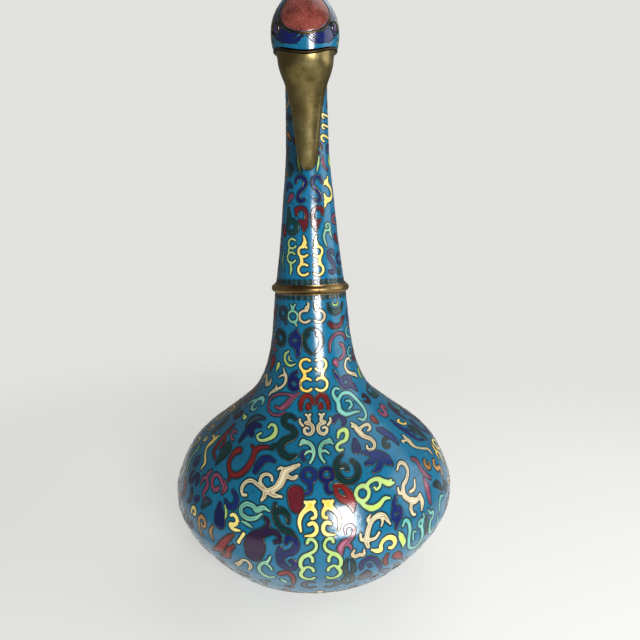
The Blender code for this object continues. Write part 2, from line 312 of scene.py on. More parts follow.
class Paint:
    """One material under construction."""

    def __init__(self, name):
        self.material = bpy.data.materials.new(name)
        self.material.use_nodes = True
        self.tree = self.material.node_tree
        self.shader = self.tree.nodes["Principled BSDF"]

    def node(self, kind, inputs=(), output=0, stops=None, **settings):
        """Adds a node: its settings first, then the values or links of its sockets."""
        made = self.tree.nodes.new(kind)
        for name, value in settings.items():
            setattr(made, name, value)
        if stops:
            elements = made.color_ramp.elements
            while len(elements) < len(stops):
                elements.new(0.5)
            for element, (position, colour) in zip(elements, stops):
                element.position = position
                element.color = (*colour, 1)
        for name, value in dict(inputs).items():
            self.put(made.inputs[name], value)
        return Socket(self, made.outputs[output])

    def put(self, socket, value):
        if isinstance(value, Socket):
            self.tree.links.new(value.link, socket)
        elif socket.type == "RGBA" and len(value) == 3:
            socket.default_value = (*value, 1)
        else:
            socket.default_value = value

    def place(self):
        return self.node("ShaderNodeTexCoord", output="Object")

    def noise(self, scale, detail=2.0, roughness=0.5, vector=None):
        inputs = {"Vector": vector or self.place(), "Scale": scale, "Detail": detail}
        inputs["Roughness"] = roughness
        return self.node("ShaderNodeTexNoise", inputs)

    def attribute(self, name):
        return self.node("ShaderNodeAttribute", output="Fac", attribute_name=name)

    def mix(self, factor, first, second):
        inputs = {0: factor, 6: first, 7: second}
        return self.node("ShaderNodeMix", inputs, output=2, data_type="RGBA")

    def bump(self, height, strength, distance, normal=None):
        inputs = {"Height": height, "Strength": strength, "Distance": distance}
        if normal:
            inputs["Normal"] = normal
        return self.node("ShaderNodeBump", inputs)

    def finish(self, **sockets):
        """Sets the shader's own sockets, named with underscores for spaces."""
        for name, value in sockets.items():
            self.put(self.shader.inputs[name.replace("_", " ").title()], value)
        return self.material


# --- finishes --------------------------------------------------------------------------

AZURE_BELLY = (0.003, 0.125, 0.235)
AZURE_NECK = (0.003, 0.128, 0.255)
AZURE_DEEP = (0.002, 0.062, 0.115)
# Dark azure beside the wires: painted shade of the wires, with copper stain.
AZURE_WIRE_SHADE_AND_STAIN = (0.003, 0.030, 0.045)

# Enamel colours as (at the wires, in the middle, in the darker patches).
ENAMELS = {
    "yellow": ((0.74, 0.64, 0.22), (0.82, 0.50, 0.03), (0.72, 0.47, 0.06)),
    "cream": ((0.52, 0.47, 0.30), (0.66, 0.57, 0.38), (0.46, 0.34, 0.20)),
    "lime": ((0.34, 0.52, 0.20), (0.48, 0.56, 0.06), (0.24, 0.40, 0.05)),
    "mint": ((0.22, 0.50, 0.34), (0.36, 0.62, 0.42), (0.10, 0.34, 0.25)),
    "turquoise": ((0.12, 0.38, 0.33), (0.22, 0.52, 0.44), (0.05, 0.29, 0.28)),
    "navy": ((0.002, 0.007, 0.080), (0.003, 0.008, 0.055), (0.004, 0.022, 0.13)),
    "green": ((0.001, 0.018, 0.020), (0.001, 0.026, 0.024), (0.002, 0.050, 0.042)),
    "red": ((0.12, 0.006, 0.007), (0.19, 0.012, 0.012), (0.06, 0.006, 0.016)),
    "pink": ((0.22, 0.055, 0.10), (0.36, 0.11, 0.19), (0.13, 0.025, 0.07)),
    "purple": ((0.022, 0.006, 0.020), (0.034, 0.009, 0.026), (0.010, 0.006, 0.036)),
    "tan": ((0.32, 0.17, 0.05), (0.46, 0.29, 0.11), (0.20, 0.09, 0.02)),
    "slate": ((0.012, 0.030, 0.05), (0.03, 0.055, 0.09), (0.01, 0.028, 0.05)),
}
VEINED = {"cream": (0.16, 0.07, 0.025), "pink": (0.08, 0.01, 0.05), "mint": (0.02, 0.14, 0.12)}


def glaze(paint, colour, roughness=0.13):
    """Polished enamel over a colour: soft waves from polishing by hand, and a few open pits."""
    waves = paint.noise(95, 2)
    fine = paint.noise(900, 2)
    pits = paint.noise(1500, 1, 0.6).step(0.70, 0.78)
    height = waves + fine * 0.10 - pits * 0.35
    shade = paint.mix(pits * 0.55, colour, (0.012, 0.012, 0.012))
    return paint.finish(
        base_color=shade,
        roughness=roughness + waves * 0.10 + pits * 0.4,
        normal=paint.bump(height, 0.35, 0.0007),
    )


def ground_enamel(name="azure_ground", shaded=False):
    """The azure of the ground. Along the wires it is darkened: partly copper taken up by the enamel, partly
    painted shade of the wires.
    """
    paint = Paint(name)
    place = paint.place()
    height = paint.node("ShaderNodeSeparateXYZ", {"Vector": place}, output=2)
    base = paint.mix(height.step(0.12, 0.20), AZURE_BELLY, AZURE_NECK)
    base = paint.mix(height.step(0.27, 0.35) * 0.6, base, AZURE_BELLY)
    clouds = paint.noise(38, 3, 0.6).step(0.35, 0.75)
    base = paint.mix(clouds * 0.45, base, AZURE_DEEP)
    streaks = paint.noise(260, 3, 0.65).step(0.5, 0.85)
    base = paint.mix(streaks * 0.30, base, (0.01, 0.22, 0.38))
    if shaded:
        # Painted shade of the wires, with copper stain, darkens the ground beside them.
        base = paint.mix(paint.attribute("shade").step(0.05, 0.75) * 0.95, base, AZURE_WIRE_SHADE_AND_STAIN)
    return glaze(paint, base)


def cell_enamel(name):
    """Enamel of the scroll cells: a colour at the wires, one in the middle, and patches."""
    edge, middle, patch = ENAMELS[name]
    paint = Paint(name + "_enamel")
    depth = paint.attribute("depth")
    tint = paint.attribute("tint")
    colour = paint.mix(depth.step(0.55, 1.35), edge, middle)
    patches = paint.noise(150, 2) * 0.7 + tint * 0.5
    colour = paint.mix(patches.step(0.52, 0.85) * 0.75, colour, patch)
    if name in VEINED:
        vein = depth.step(0.62, 0.80) * (1 - depth.step(0.92, 1.10))
        colour = paint.mix(vein * 0.75, colour, VEINED[name])
    return glaze(paint, colour)


def crown_enamel():
    """Mottled red with paler specks."""
    paint = Paint("crown_enamel")
    blotches = paint.noise(170, 4, 0.65)
    colour = paint.mix(blotches.step(0.35, 0.68), (0.10, 0.015, 0.012), (0.21, 0.046, 0.034))
    specks = paint.noise(1050, 2, 0.6).step(0.60, 0.72)
    colour = paint.mix(specks * 0.6, colour, (0.46, 0.20, 0.15))
    return glaze(paint, colour, 0.16)


def plain_enamel(name, colour, patch, roughness=0.13):
    paint = Paint(name)
    colour = paint.mix(paint.noise(220, 3).step(0.35, 0.7), colour, patch)
    return glaze(paint, colour, roughness)


def brass(name, bright, dull, dark, rough=0.30, wear=0.5):
    """Gilt brass: rubbed bright in places, brown in others, with fine scratches."""
    paint = Paint(name)
    place = paint.place()
    worn = paint.noise(60, 4, 0.6)
    stains = paint.noise(210, 4, 0.65)
    stretch = paint.node("ShaderNodeMapping", {"Vector": place, "Scale": (1, 1, 0.12)})
    scratches = paint.noise(1400, 3, 0.6, vector=stretch)
    colour = paint.mix(worn.step(wear - 0.16, wear + 0.16), dull, bright)
    colour = paint.mix(stains.step(0.52, 0.74) * 0.8, colour, dark)
    return paint.finish(
        base_color=colour,
        metallic=1.0,
        roughness=rough + stains.step(0.4, 0.8) * 0.25 + scratches * 0.12,
        normal=paint.bump(scratches * 0.4 + stains * 0.6, 0.25, 0.0003),
    )


def wire_brass():
    return brass("wire_brass", (0.15, 0.110, 0.048), (0.05, 0.036, 0.018), (0.02, 0.014, 0.008), 0.32, 0.58)


def dull_wire():
    """The fine curls of the ground, mostly drowned in the azure."""
    paint = Paint("curl_wire")
    worn = paint.noise(130, 3).step(0.45, 0.75)
    colour = paint.mix(worn, (0.003, 0.035, 0.05), (0.09, 0.12, 0.08))
    return paint.finish(base_color=colour, roughness=0.28 + worn * 0.1, metallic=worn * 0.4)


def ring_brass():
    return brass("ring_brass", (0.30, 0.205, 0.085), (0.14, 0.088, 0.035), (0.045, 0.028, 0.014), 0.24)


def foot_brass():
    return brass("foot_brass", (0.30, 0.22, 0.09), (0.17, 0.11, 0.045), (0.06, 0.04, 0.02), 0.32)


def bill_brass():
    return brass("bill_brass", (0.27, 0.22, 0.095), (0.165, 0.125, 0.045), (0.08, 0.052, 0.018), 0.25)


def eye_enamel():
    return plain_enamel("eye_enamel", (0.040, 0.020, 0.075), (0.015, 0.010, 0.040), 0.10)


def base_enamel():
    return plain_enamel("base_enamel", (0.008, 0.16, 0.30), (0.005, 0.09, 0.17), 0.2)


def copper():
    return brass("spun_copper", (0.50, 0.24, 0.14), (0.34, 0.15, 0.09), (0.10, 0.05, 0.035), 0.36)


def lining_enamel():
    return plain_enamel("counter_enamel", (0.10, 0.22, 0.30), (0.06, 0.15, 0.22), 0.38)


# --- pieces ----------------------------------------------------------------------------


def coordinates(mesh):
    """The places of a mesh's or a bmesh's vertices, as an array."""
    if isinstance(mesh, bmesh.types.BMesh):
        return np.array([vertex.co[:] for vertex in mesh.verts]).reshape(-1, 3)
    places = np.empty(len(mesh.vertices) * 3, np.float32)
    mesh.vertices.foreach_get("co", places)
    return places.reshape(-1, 3).astype(float)


def move_all(mesh, places):
    """Puts the vertices of a bmesh at new places."""
    for vertex, place in zip(mesh.verts, places):
        vertex.co = place


def make_piece(name, mesh, material, replaced=(), crease=40):
    """Turns a bmesh into a finished piece that rides on the vase."""
    data = bpy.data.meshes.new(name)
    mesh.to_mesh(data)
    mesh.free()
    data.shade_smooth()
    data.set_sharp_from_angle(angle=math.radians(crease))
    data.materials.append(material)
    piece = bpy.data.objects.new(name, data)
    bpy.context.scene.collection.objects.link(piece)
    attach(piece, BODY)
    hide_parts(*replaced)
    return piece


def spun(profile, steps, closed=False):
    """Spins a profile of (radius, height) round the vertical axis, in the profile's own unit."""
    mesh = bmesh.new()
    points = [mesh.verts.new((radius, 0, height)) for radius, height in profile]
    pairs = list(zip(points, points[1:])) + ([(points[-1], points[0])] if closed else [])
    edges = [mesh.edges.new(pair) for pair in pairs]
    bmesh.ops.spin(
        mesh,
        geom=points + edges,
        cent=(0, 0, 0),
        axis=(0, 0, 1),
        angle=math.tau,
        steps=steps,
        use_merge=True,
        use_duplicate=False,
    )
    bmesh.ops.remove_doubles(mesh, verts=mesh.verts, dist=1e-5)
    loose = [edge for edge in mesh.edges if not edge.link_faces]
    bmesh.ops.delete(mesh, geom=loose, context="EDGES")
    bmesh.ops.recalc_face_normals(mesh, faces=mesh.faces)
    return mesh


def round_profile(corners, radius, steps=5):
    """A profile through the corners, each rounded off by an arc-like curve of about that radius."""
    corners = np.array(corners, float)
    rounded = [corners[0]]
    for before, corner, after in zip(corners, corners[1:], corners[2:]):
        back = before - corner
        ahead = after - corner
        reach = min(radius, 0.45 * np.linalg.norm(back), 0.45 * np.linalg.norm(ahead))
        start = corner + back / np.linalg.norm(back) * reach
        end = corner + ahead / np.linalg.norm(ahead) * reach
        for t in np.linspace(0, 1, steps):
            rounded.append((1 - t) ** 2 * start + 2 * t * (1 - t) * corner + t**2 * end)
    return [*rounded, corners[-1]]


def ground_skin(name, low, high, steps, node):
    """A stretch of the azure coat between two axis heights, closed by rims turned in."""
    start, end = skin_length(low), skin_length(high)
    rows = np.linspace(start, end, int((end - start) / size_of("row_size")) + 1)
    radius, height = (
        np.interp(rows, ALONG, SKIN[:, i]) - GROUND_DEPTH * np.interp(rows, ALONG,
            OUTWARD[:, i]) for i in (0, 1)
    )
    profile = list(zip(radius, height))
    rim = size_of("rim_size")
    profile = [(radius[0] - rim, height[0] + 0.2), *profile, (radius[-1] - rim, height[-1] - 0.2)]
    mesh = spun(profile, steps)
    places = coordinates(mesh)
    x, y, height = draw_to_seam(*places.T)
    move_all(mesh, bend(x, flatten_throat(y, height), height) * MM)
    bmesh.ops.recalc_face_normals(mesh, faces=mesh.faces)
    return make_piece(name, mesh, ground_enamel(), [node])


# --- cells and wires -------------------------------------------------------------------


def widths_along(path, widths):
    """Half widths at each point of a path, spread evenly over its length and eased between."""
    share = lengths(path) / max(lengths(path)[-1], 1e-9) * (len(widths) - 1)
    low = np.minimum(share.astype(int), max(len(widths) - 2, 0))
    t = share - low
    t = t * t * (3 - 2 * t)
    widths = np.array([*widths, widths[-1]], float)
    return widths[low] * (1 - t) + widths[low + 1] * t


def line(points, *widths):
    """A stroke through points (across, along), as rows of across, along and half width."""
    path = smooth_path(points, 4)
    return np.column_stack([path, widths_along(path, widths)])


def arc(x, y, radius, start, end, *widths, shrink=1.0, tall=1.0):
    """A stroke round a centre, between two directions in degrees from +x, that may wind in."""
    count = max(int(abs(end - start) / 18), 3)
    turn = np.radians(np.linspace(start, end, count))
    reach = radius * np.linspace(1, shrink, count)
    path = np.column_stack([x + reach * np.cos(turn), y + reach * tall * np.sin(turn)])
    return np.column_stack([path, widths_along(path, widths)])


def blob(x, y, radius):
    return np.array([(x, y, radius), (x + 0.01, y, radius)])


def drop(x, y, tip_x, tip_y, radius):
    """A tear drop from its round end to its tip."""
    path = np.linspace((x, y), (tip_x, tip_y), 6)
    shape = radius * np.array([1, 0.98, 0.80, 0.55, 0.30, 0.08])
    return np.column_stack([path, np.maximum(shape, 0.15)])


def outside(points, strokes):
    """Distance of flat points from the united strokes, less than zero inside them."""
    total = None
    fillet = size_of("fillet_size")
    for stroke in strokes:
        start, end = stroke[:-1], stroke[1:]
        course = end[:, :2] - start[:, :2]
        size = np.maximum((course**2).sum(1), 1e-9)
        offset = points[:, None] - start[None, :, :2]
        share = np.clip((offset * course).sum(2) / size, 0, 1)
        gap = np.linalg.norm(offset - share[..., None] * course, axis=2)
        gap = (gap - (start[:, 2] + share * (end[:, 2] - start[:, 2]))).min(1)
        if total is None:
            total = gap
        else:
            blend = np.maximum(fillet - np.abs(total - gap), 0) / fillet
            total = np.minimum(total, gap) - blend**2 * fillet / 4
    return total


def outward(points, strokes):
    """Unit direction in which the distance from the strokes grows."""
    step = 0.05
    slope = np.stack(
        [
            outside(points + (step, 0), strokes) - outside(points - (step, 0), strokes),
            outside(points + (0, step), strokes) - outside(points - (0, step), strokes),
        ],
        axis=1,
    )
    return slope / np.maximum(np.linalg.norm(slope, axis=1, keepdims=True), 1e-9)


def shift(vertices, strokes, target):
    """Slides flat vertices along the slope until they lie at target from the strokes."""
    places = np.array([vertex.co[:2] for vertex in vertices])
    for _ in range(2):
        gap = outside(places, strokes) - target
        places = places - outward(places, strokes) * gap[:, None]
    for vertex, place in zip(vertices, places):
        vertex.co.xy = place


def cell_and_wire(strokes):
    """Three flat meshes: the enamel cell that the united strokes fill, the wire round it and the ground
    along the wire, painted dark as the wire's shade and copper stain.
    Their third coordinate is the height above the drawn skin."""
    cell, wire_width = size_of("cell_size"), size_of("wire_width")
    rows = np.vstack(strokes)
    low = (rows[:, :2] - rows[:, 2:]).min(0) - 2 * cell
    size = (rows[:, :2] + rows[:, 2:]).max(0) + 2 * cell - low
    counts = np.ceil(size / cell).astype(int)
    mesh = bmesh.new()
    bmesh.ops.create_grid(mesh, x_segments=int(counts[0]), y_segments=int(counts[1]), size=1)
    flat = (coordinates(mesh)[:, :2] + 1) / 2 * counts * cell + low
    gap = outside(flat, strokes)
    for vertex, place in zip(mesh.verts, flat):
        vertex.co = (*place, -CELL_DEPTH)
    far = [vertex for vertex, away in zip(mesh.verts, gap) if away > 0.4 * cell]
    bmesh.ops.delete(mesh, geom=far, context="VERTS")
    loose = [vertex for vertex in mesh.verts if not vertex.link_faces]
    bmesh.ops.delete(mesh, geom=loose, context="VERTS")
    rim = [vertex for vertex in mesh.verts if vertex.is_boundary]
    shift(rim, strokes, 0)

    wire = mesh.copy()
    wire.edges.index_update()
    old_faces = list(wire.faces)
    edges = [edge for edge in wire.edges if edge.is_boundary]
    for reach, depth in ((wire_width / 2, WIRE_DEPTH), (wire_width, GROUND_DEPTH + 0.03)):
        grown = bmesh.ops.extrude_edge_only(wire, edges=edges)["geom"]
        fresh = [part for part in grown if isinstance(part, bmesh.types.BMVert)]
        edges = [part for part in grown if isinstance(part, bmesh.types.BMEdge)]
        edges = [edge for edge in edges if edge.is_boundary]
        shift(fresh, strokes, reach)
        for vertex in fresh:
            vertex.co.z = -depth
    wire.edges.index_update()
    # The ground beside the wire carries a painted shade of the wire, with copper stain, fading out over
    # SHADE_WIDTH.
    shade = wire.copy()
    shade_layer = shade.verts.layers.float.new("shade")
    old_shade = list(shade.faces)
    shade.edges.index_update()
    rim_numbers = {edge.index for edge in edges}
    rim_edges = [edge for edge in shade.edges if edge.index in rim_numbers]
    grown = bmesh.ops.extrude_edge_only(shade, edges=rim_edges)["geom"]
    fresh = [part for part in grown if isinstance(part, bmesh.types.BMVert)]
    shift(fresh, strokes, wire_width + SHADE_WIDTH)
    bmesh.ops.delete(shade, geom=old_shade, context="FACES")
    for vertex, away in zip(shade.verts, outside(coordinates(shade)[:, :2], strokes)):
        vertex.co.z = SHADE_LIFT - GROUND_DEPTH
        vertex[shade_layer] = 1 - np.clip((away - wire_width) / SHADE_WIDTH, 0, 1)
    bmesh.ops.delete(wire, geom=old_faces, context="FACES")
    for part in (wire, shade):
        part.normal_update()
        bmesh.ops.reverse_faces(part, faces=[face for face in part.faces if face.normal.z < 0])
    depth_layer = mesh.verts.layers.float.new("depth")
    places = coordinates(mesh)[:, :2]
    for vertex, away in zip(mesh.verts, outside(places, strokes)):
        vertex[depth_layer] = -away
    mesh.verts.layers.float.new("tint")
    flats = []
    for part in (mesh, wire, shade):
        data = bpy.data.meshes.new("flat")
        part.to_mesh(data)
        part.free()
        flats.append(data)
    return flats


class Canvas:
    """Gathers the cells of each colour, the wires and the darkened ground beside them while
    scrolls are laid on the skin."""

    def __init__(self, seed):
        self.cells = {}
        self.wires = []
        self.shades = []
        self.random = random.Random(seed)
        self.taken = np.zeros((720, 480), bool)

    def room(self, meshes):
        """The last of the meshes, or a new one when that has faces enough."""
        if not meshes or len(meshes[-1].faces) > settings().wire_faces:
            meshes.append(bmesh.new())
        return meshes[-1]

    def lay(self, flat, target, angle_of, mirrored, tint=None):
        """Adds a copy of a flat mesh to target, laid on the skin."""
        copy = flat.copy()
        places = coordinates(copy)
        across = -places[:, 0] if mirrored else places[:, 0]
        angle, along = angle_of(across, places[:, 1])
        self.mark(angle, along)
        laid = wrap(angle, along, places[:, 2])
        copy.vertices.foreach_set("co", laid.astype(np.float32).ravel())
        if tint is not None:
            values = np.full(len(laid), tint, np.float32)
            copy.attributes["tint"].data.foreach_set("value", values)
        if mirrored:
            copy.flip_normals()
        target.from_mesh(copy)
        bpy.data.meshes.remove(copy)

    def mark(self, angle, along):
        """Remembers which half degrees and millimetres of the skin are taken."""
        column = (np.round(angle * 2).astype(int)) % 720
        row = np.clip(np.round(along).astype(int), 0, 479)
        self.taken[column, row] = True

    def is_taken(self, angle, along):
        column = (np.round(angle * 2).astype(int)) % 720
        row = np.clip(np.round(along).astype(int), 0, 479)
        return self.taken[column, row].any()

    def crowded(self, strokes, where):
        """Whether a scroll would lie over others that are there already."""
        rows = np.vstack(strokes)
        return self.is_taken(*where(rows[:, 0], rows[:, 1]))

    def scroll(self, colour, strokes, places, mirrored_too=False, angle_of=None):
        """Lays one scroll at each of the places, which are (angle, colour map) pairs."""
        flats = cell_and_wire(strokes)
        for turn, recolour in places:
            shown = recolour.get(colour, colour)
            cells = self.cells.setdefault(shown, bmesh.new())
            for mirrored in (False, True) if mirrored_too else (False,):

                def where(across, along, turn=turn):
                    if angle_of:
                        return angle_of(across, along)
                    return turn + np.degrees(across / skin_radius(along)), along

                if not mirrored and recolour and self.crowded(strokes, where):
                    break
                self.lay(flats[0], cells, where, mirrored, self.random.random())
                self.lay(flats[1], self.room(self.wires), where, mirrored)
                self.lay(flats[2], self.room(self.shades), where, mirrored)
        for flat in flats:
            bpy.data.meshes.remove(flat)


# --- scrolls ---------------------------------------------------------------------------
# Each scroll is a colour and its strokes, in millimetres across from the column's middle line
# and along the skin from the foot. The strokes of one scroll run together.

COLUMN_ANGLE = 1.5
SECOND_COLOURS = {
    "yellow": "cream", "cream": "mint", "mint": "pink", "pink": "yellow", "red": "navy", "navy": "purple",
    "purple": "red", "lime": "turquoise", "turquoise": "lime", "tan": "cream",
}
THIRD_COLOURS = {
    "yellow": "lime", "lime": "cream", "cream": "yellow", "mint": "turquoise", "turquoise": "pink",
    "pink": "mint", "red": "green", "green": "red", "navy": "green", "purple": "navy",
}
NECK_PALE = {"yellow", "cream", "lime", "mint", "turquoise"}
NECK_PALE_WIDTH = 0.74
FOOT_REPEATS = 24
DOT_ROWS = (232.1, 242.0)
DOT_COUNT, DOT_RADIUS = 40, 1.1
CURL_TRIES = 16000
CURL_WIRE = 0.2
CURL_PROFILE = ((-1, -GROUND_DEPTH - 0.02), (0, -CURL_DEPTH), (1, -GROUND_DEPTH - 0.02))

# Left halves of the paired scrolls that stand one above the other on the column.
BELLY_COLUMN = [
    ("slate", [line([(-4, 50.5), (-7, 51), (-9.3, 48), (-9, 43.5), (-6, 41), (-3.5, 42.5)], .8, 1.1, .8)]),
    ("lime", [
        line([(-7, 81.8), (-6, 83.5), (-3.4, 82.9), (-2.1, 80.3), (-3.2, 77.4), (-6, 75.6), (-9, 74),
              (-10.9, 71), (-10.8, 67.6), (-9.6, 65), (-10.8, 62), (-10.7, 58.6), (-8.6, 56), (-5.5, 55.2),
              (-3.6, 56.8)], .8, .75, .9, 1, 1, 1, .8),
        line([(-9, 73.6), (-6.6, 74.6), (-4.6, 73), (-4.4, 71)], .7, .8, .8),
        line([(-9.6, 65), (-7.5, 67.2), (-4.8, 66.2), (-4, 63.5)], .8, .85, .8),
    ]),
    ("yellow", [
        line([(-10.2, 87.5), (-11, 92), (-9.6, 96), (-6.8, 98.8), (-5, 100)], .5, .95, 1.1, 1.6),
        line([(-4, 99.5), (-2.2, 97.3), (-2.2, 94.8), (-4, 94)], 1.2, .85, .8),
        blob(-5, 101, 2.1), blob(-7.4, 102.2, .9), blob(-2.6, 102.4, .9),
    ]),
    ("yellow", [line([(-5.8, 91), (-3.6, 91.7), (-1.9, 90), (-2, 87.2), (-4.2, 85.5), (-8, 85.2)], .9, .95,
            .95, .4)]),
    ("navy", [arc(-5, 117, 3.6, 0, 360, 1.1, 1.1), line([(-5, 113.6), (-4.5, 110.5), (-5.2, 107.4),
            (-7.5, 106.8)], 1.1, .9, .7)]),
    ("mint", [
        line([(-8, 138), (-5, 137.6), (-2.8, 135.5), (-1.7, 131.5), (-2.4, 127.5), (-4.2, 124.5)], 1.3, 1,
            .8, .6),
        line([(-8, 138), (-9.8, 136)], .9, .5), line([(-2, 131.5), (-5, 131.8), (-7, 130)], .7, .7, .5),
        blob(-7.6, 139.2, .8),
    ]),
    ("cream", [
        arc(-5, 146.2, 4.3, 100, -300, 1.1, 1, .7, shrink=.2, tall=1.15),
        line([(-4.9, 150.6), (-3.6, 153), (-4.2, 155.6)], 1.1, .9, .9), blob(-5.5, 156.7, .75),
        blob(-2.9, 156.8, .75),
        line([(-7.8, 149), (-9.5, 151.4), (-9.3, 153.6)], .8, .7, .5),
    ]),
    ("red", [line([(-8.8, 160), (-8.6, 164.2), (-6.8, 168.2), (-4, 169.4), (-1.8, 167.6), (-1.3, 164)], .8,
            1.3, 1.4, 1.1, .8)]),
    ("red", [drop(-3.9, 161.4, -4.2, 165.4, 1.5)]),
]
NECK_COLUMN = [
    ("yellow", [
        arc(-4.7, 188.7, 3.9, 48, 325, .9, 1, 1, .9), arc(-4.7, 176.2, 4.1, 48, 320, .9, 1, 1, .9),
        line([(-6.6, 184.8), (-5.6, 182.3), (-6.6, 179.8)], 1.1, 1.3, 1.1),
    ]),
    ("green", [line([(-1.2, 212), (-3.8, 210), (-5.6, 205), (-4.6, 200), (-1.2, 196)], .7, 1.2, 1.3, 1.1,
            .6), blob(-3.4, 208.2, 1.2)]),
    ("cream", [
        arc(-4.6, 220, 3.8, 70, 318, .9, .9, .9, .9), blob(-3.2, 225.2, 1.7),
        line([(-2.7, 226), (-2, 227.8), (-2.5, 229)], 1.2, .8, .5),
    ]),
    ("yellow", [
        arc(-4.7, 250, 3.6, 48, 318, .85, .95, .85), arc(-4.6, 261.6, 3.3, 48, 318, .85, .95, .85),
        line([(-6.4, 253.5), (-5.8, 255.8), (-6.4, 258)], 1, 1.2, 1),
        line([(-5, 264.6), (-3.5, 267.3), (-3.6, 269.6), (-4.2, 271.6)], 1.2, 1.8, 1, .5),
    ]),
    ("red", [
        line([(-8.4, 288.2), (-5.8, 289.4), (-3.4, 288.4), (-2, 285.4), (-2.2, 281.6), (-3.4, 278.8)], 1.4,
            1, 1, 1, 1, 1.5),
        line([(-3.6, 279.4), (-4, 274.4)], 2.2, .4), line([(-8.6, 288), (-8.8, 285)], 1.1, .6),
        line([(-7, 281.4), (-4.4, 279.6)], .6, 1.4),
    ]),
    ("navy", [line([(-8.8, 305.6), (-7.6, 308.2), (-4.4, 308.6), (-2.2, 305.6), (-3.4, 302), (-6.6, 298.6),
                    (-7.3, 295.2), (-5.4, 293.4), (-3.4, 294.4)], .6, .75, .85, .8, .8, .6)]),
    ("lime", [line([(-7.2, 321.5), (-6.6, 317), (-5.4, 312)], .4, .8, .35)]),
]

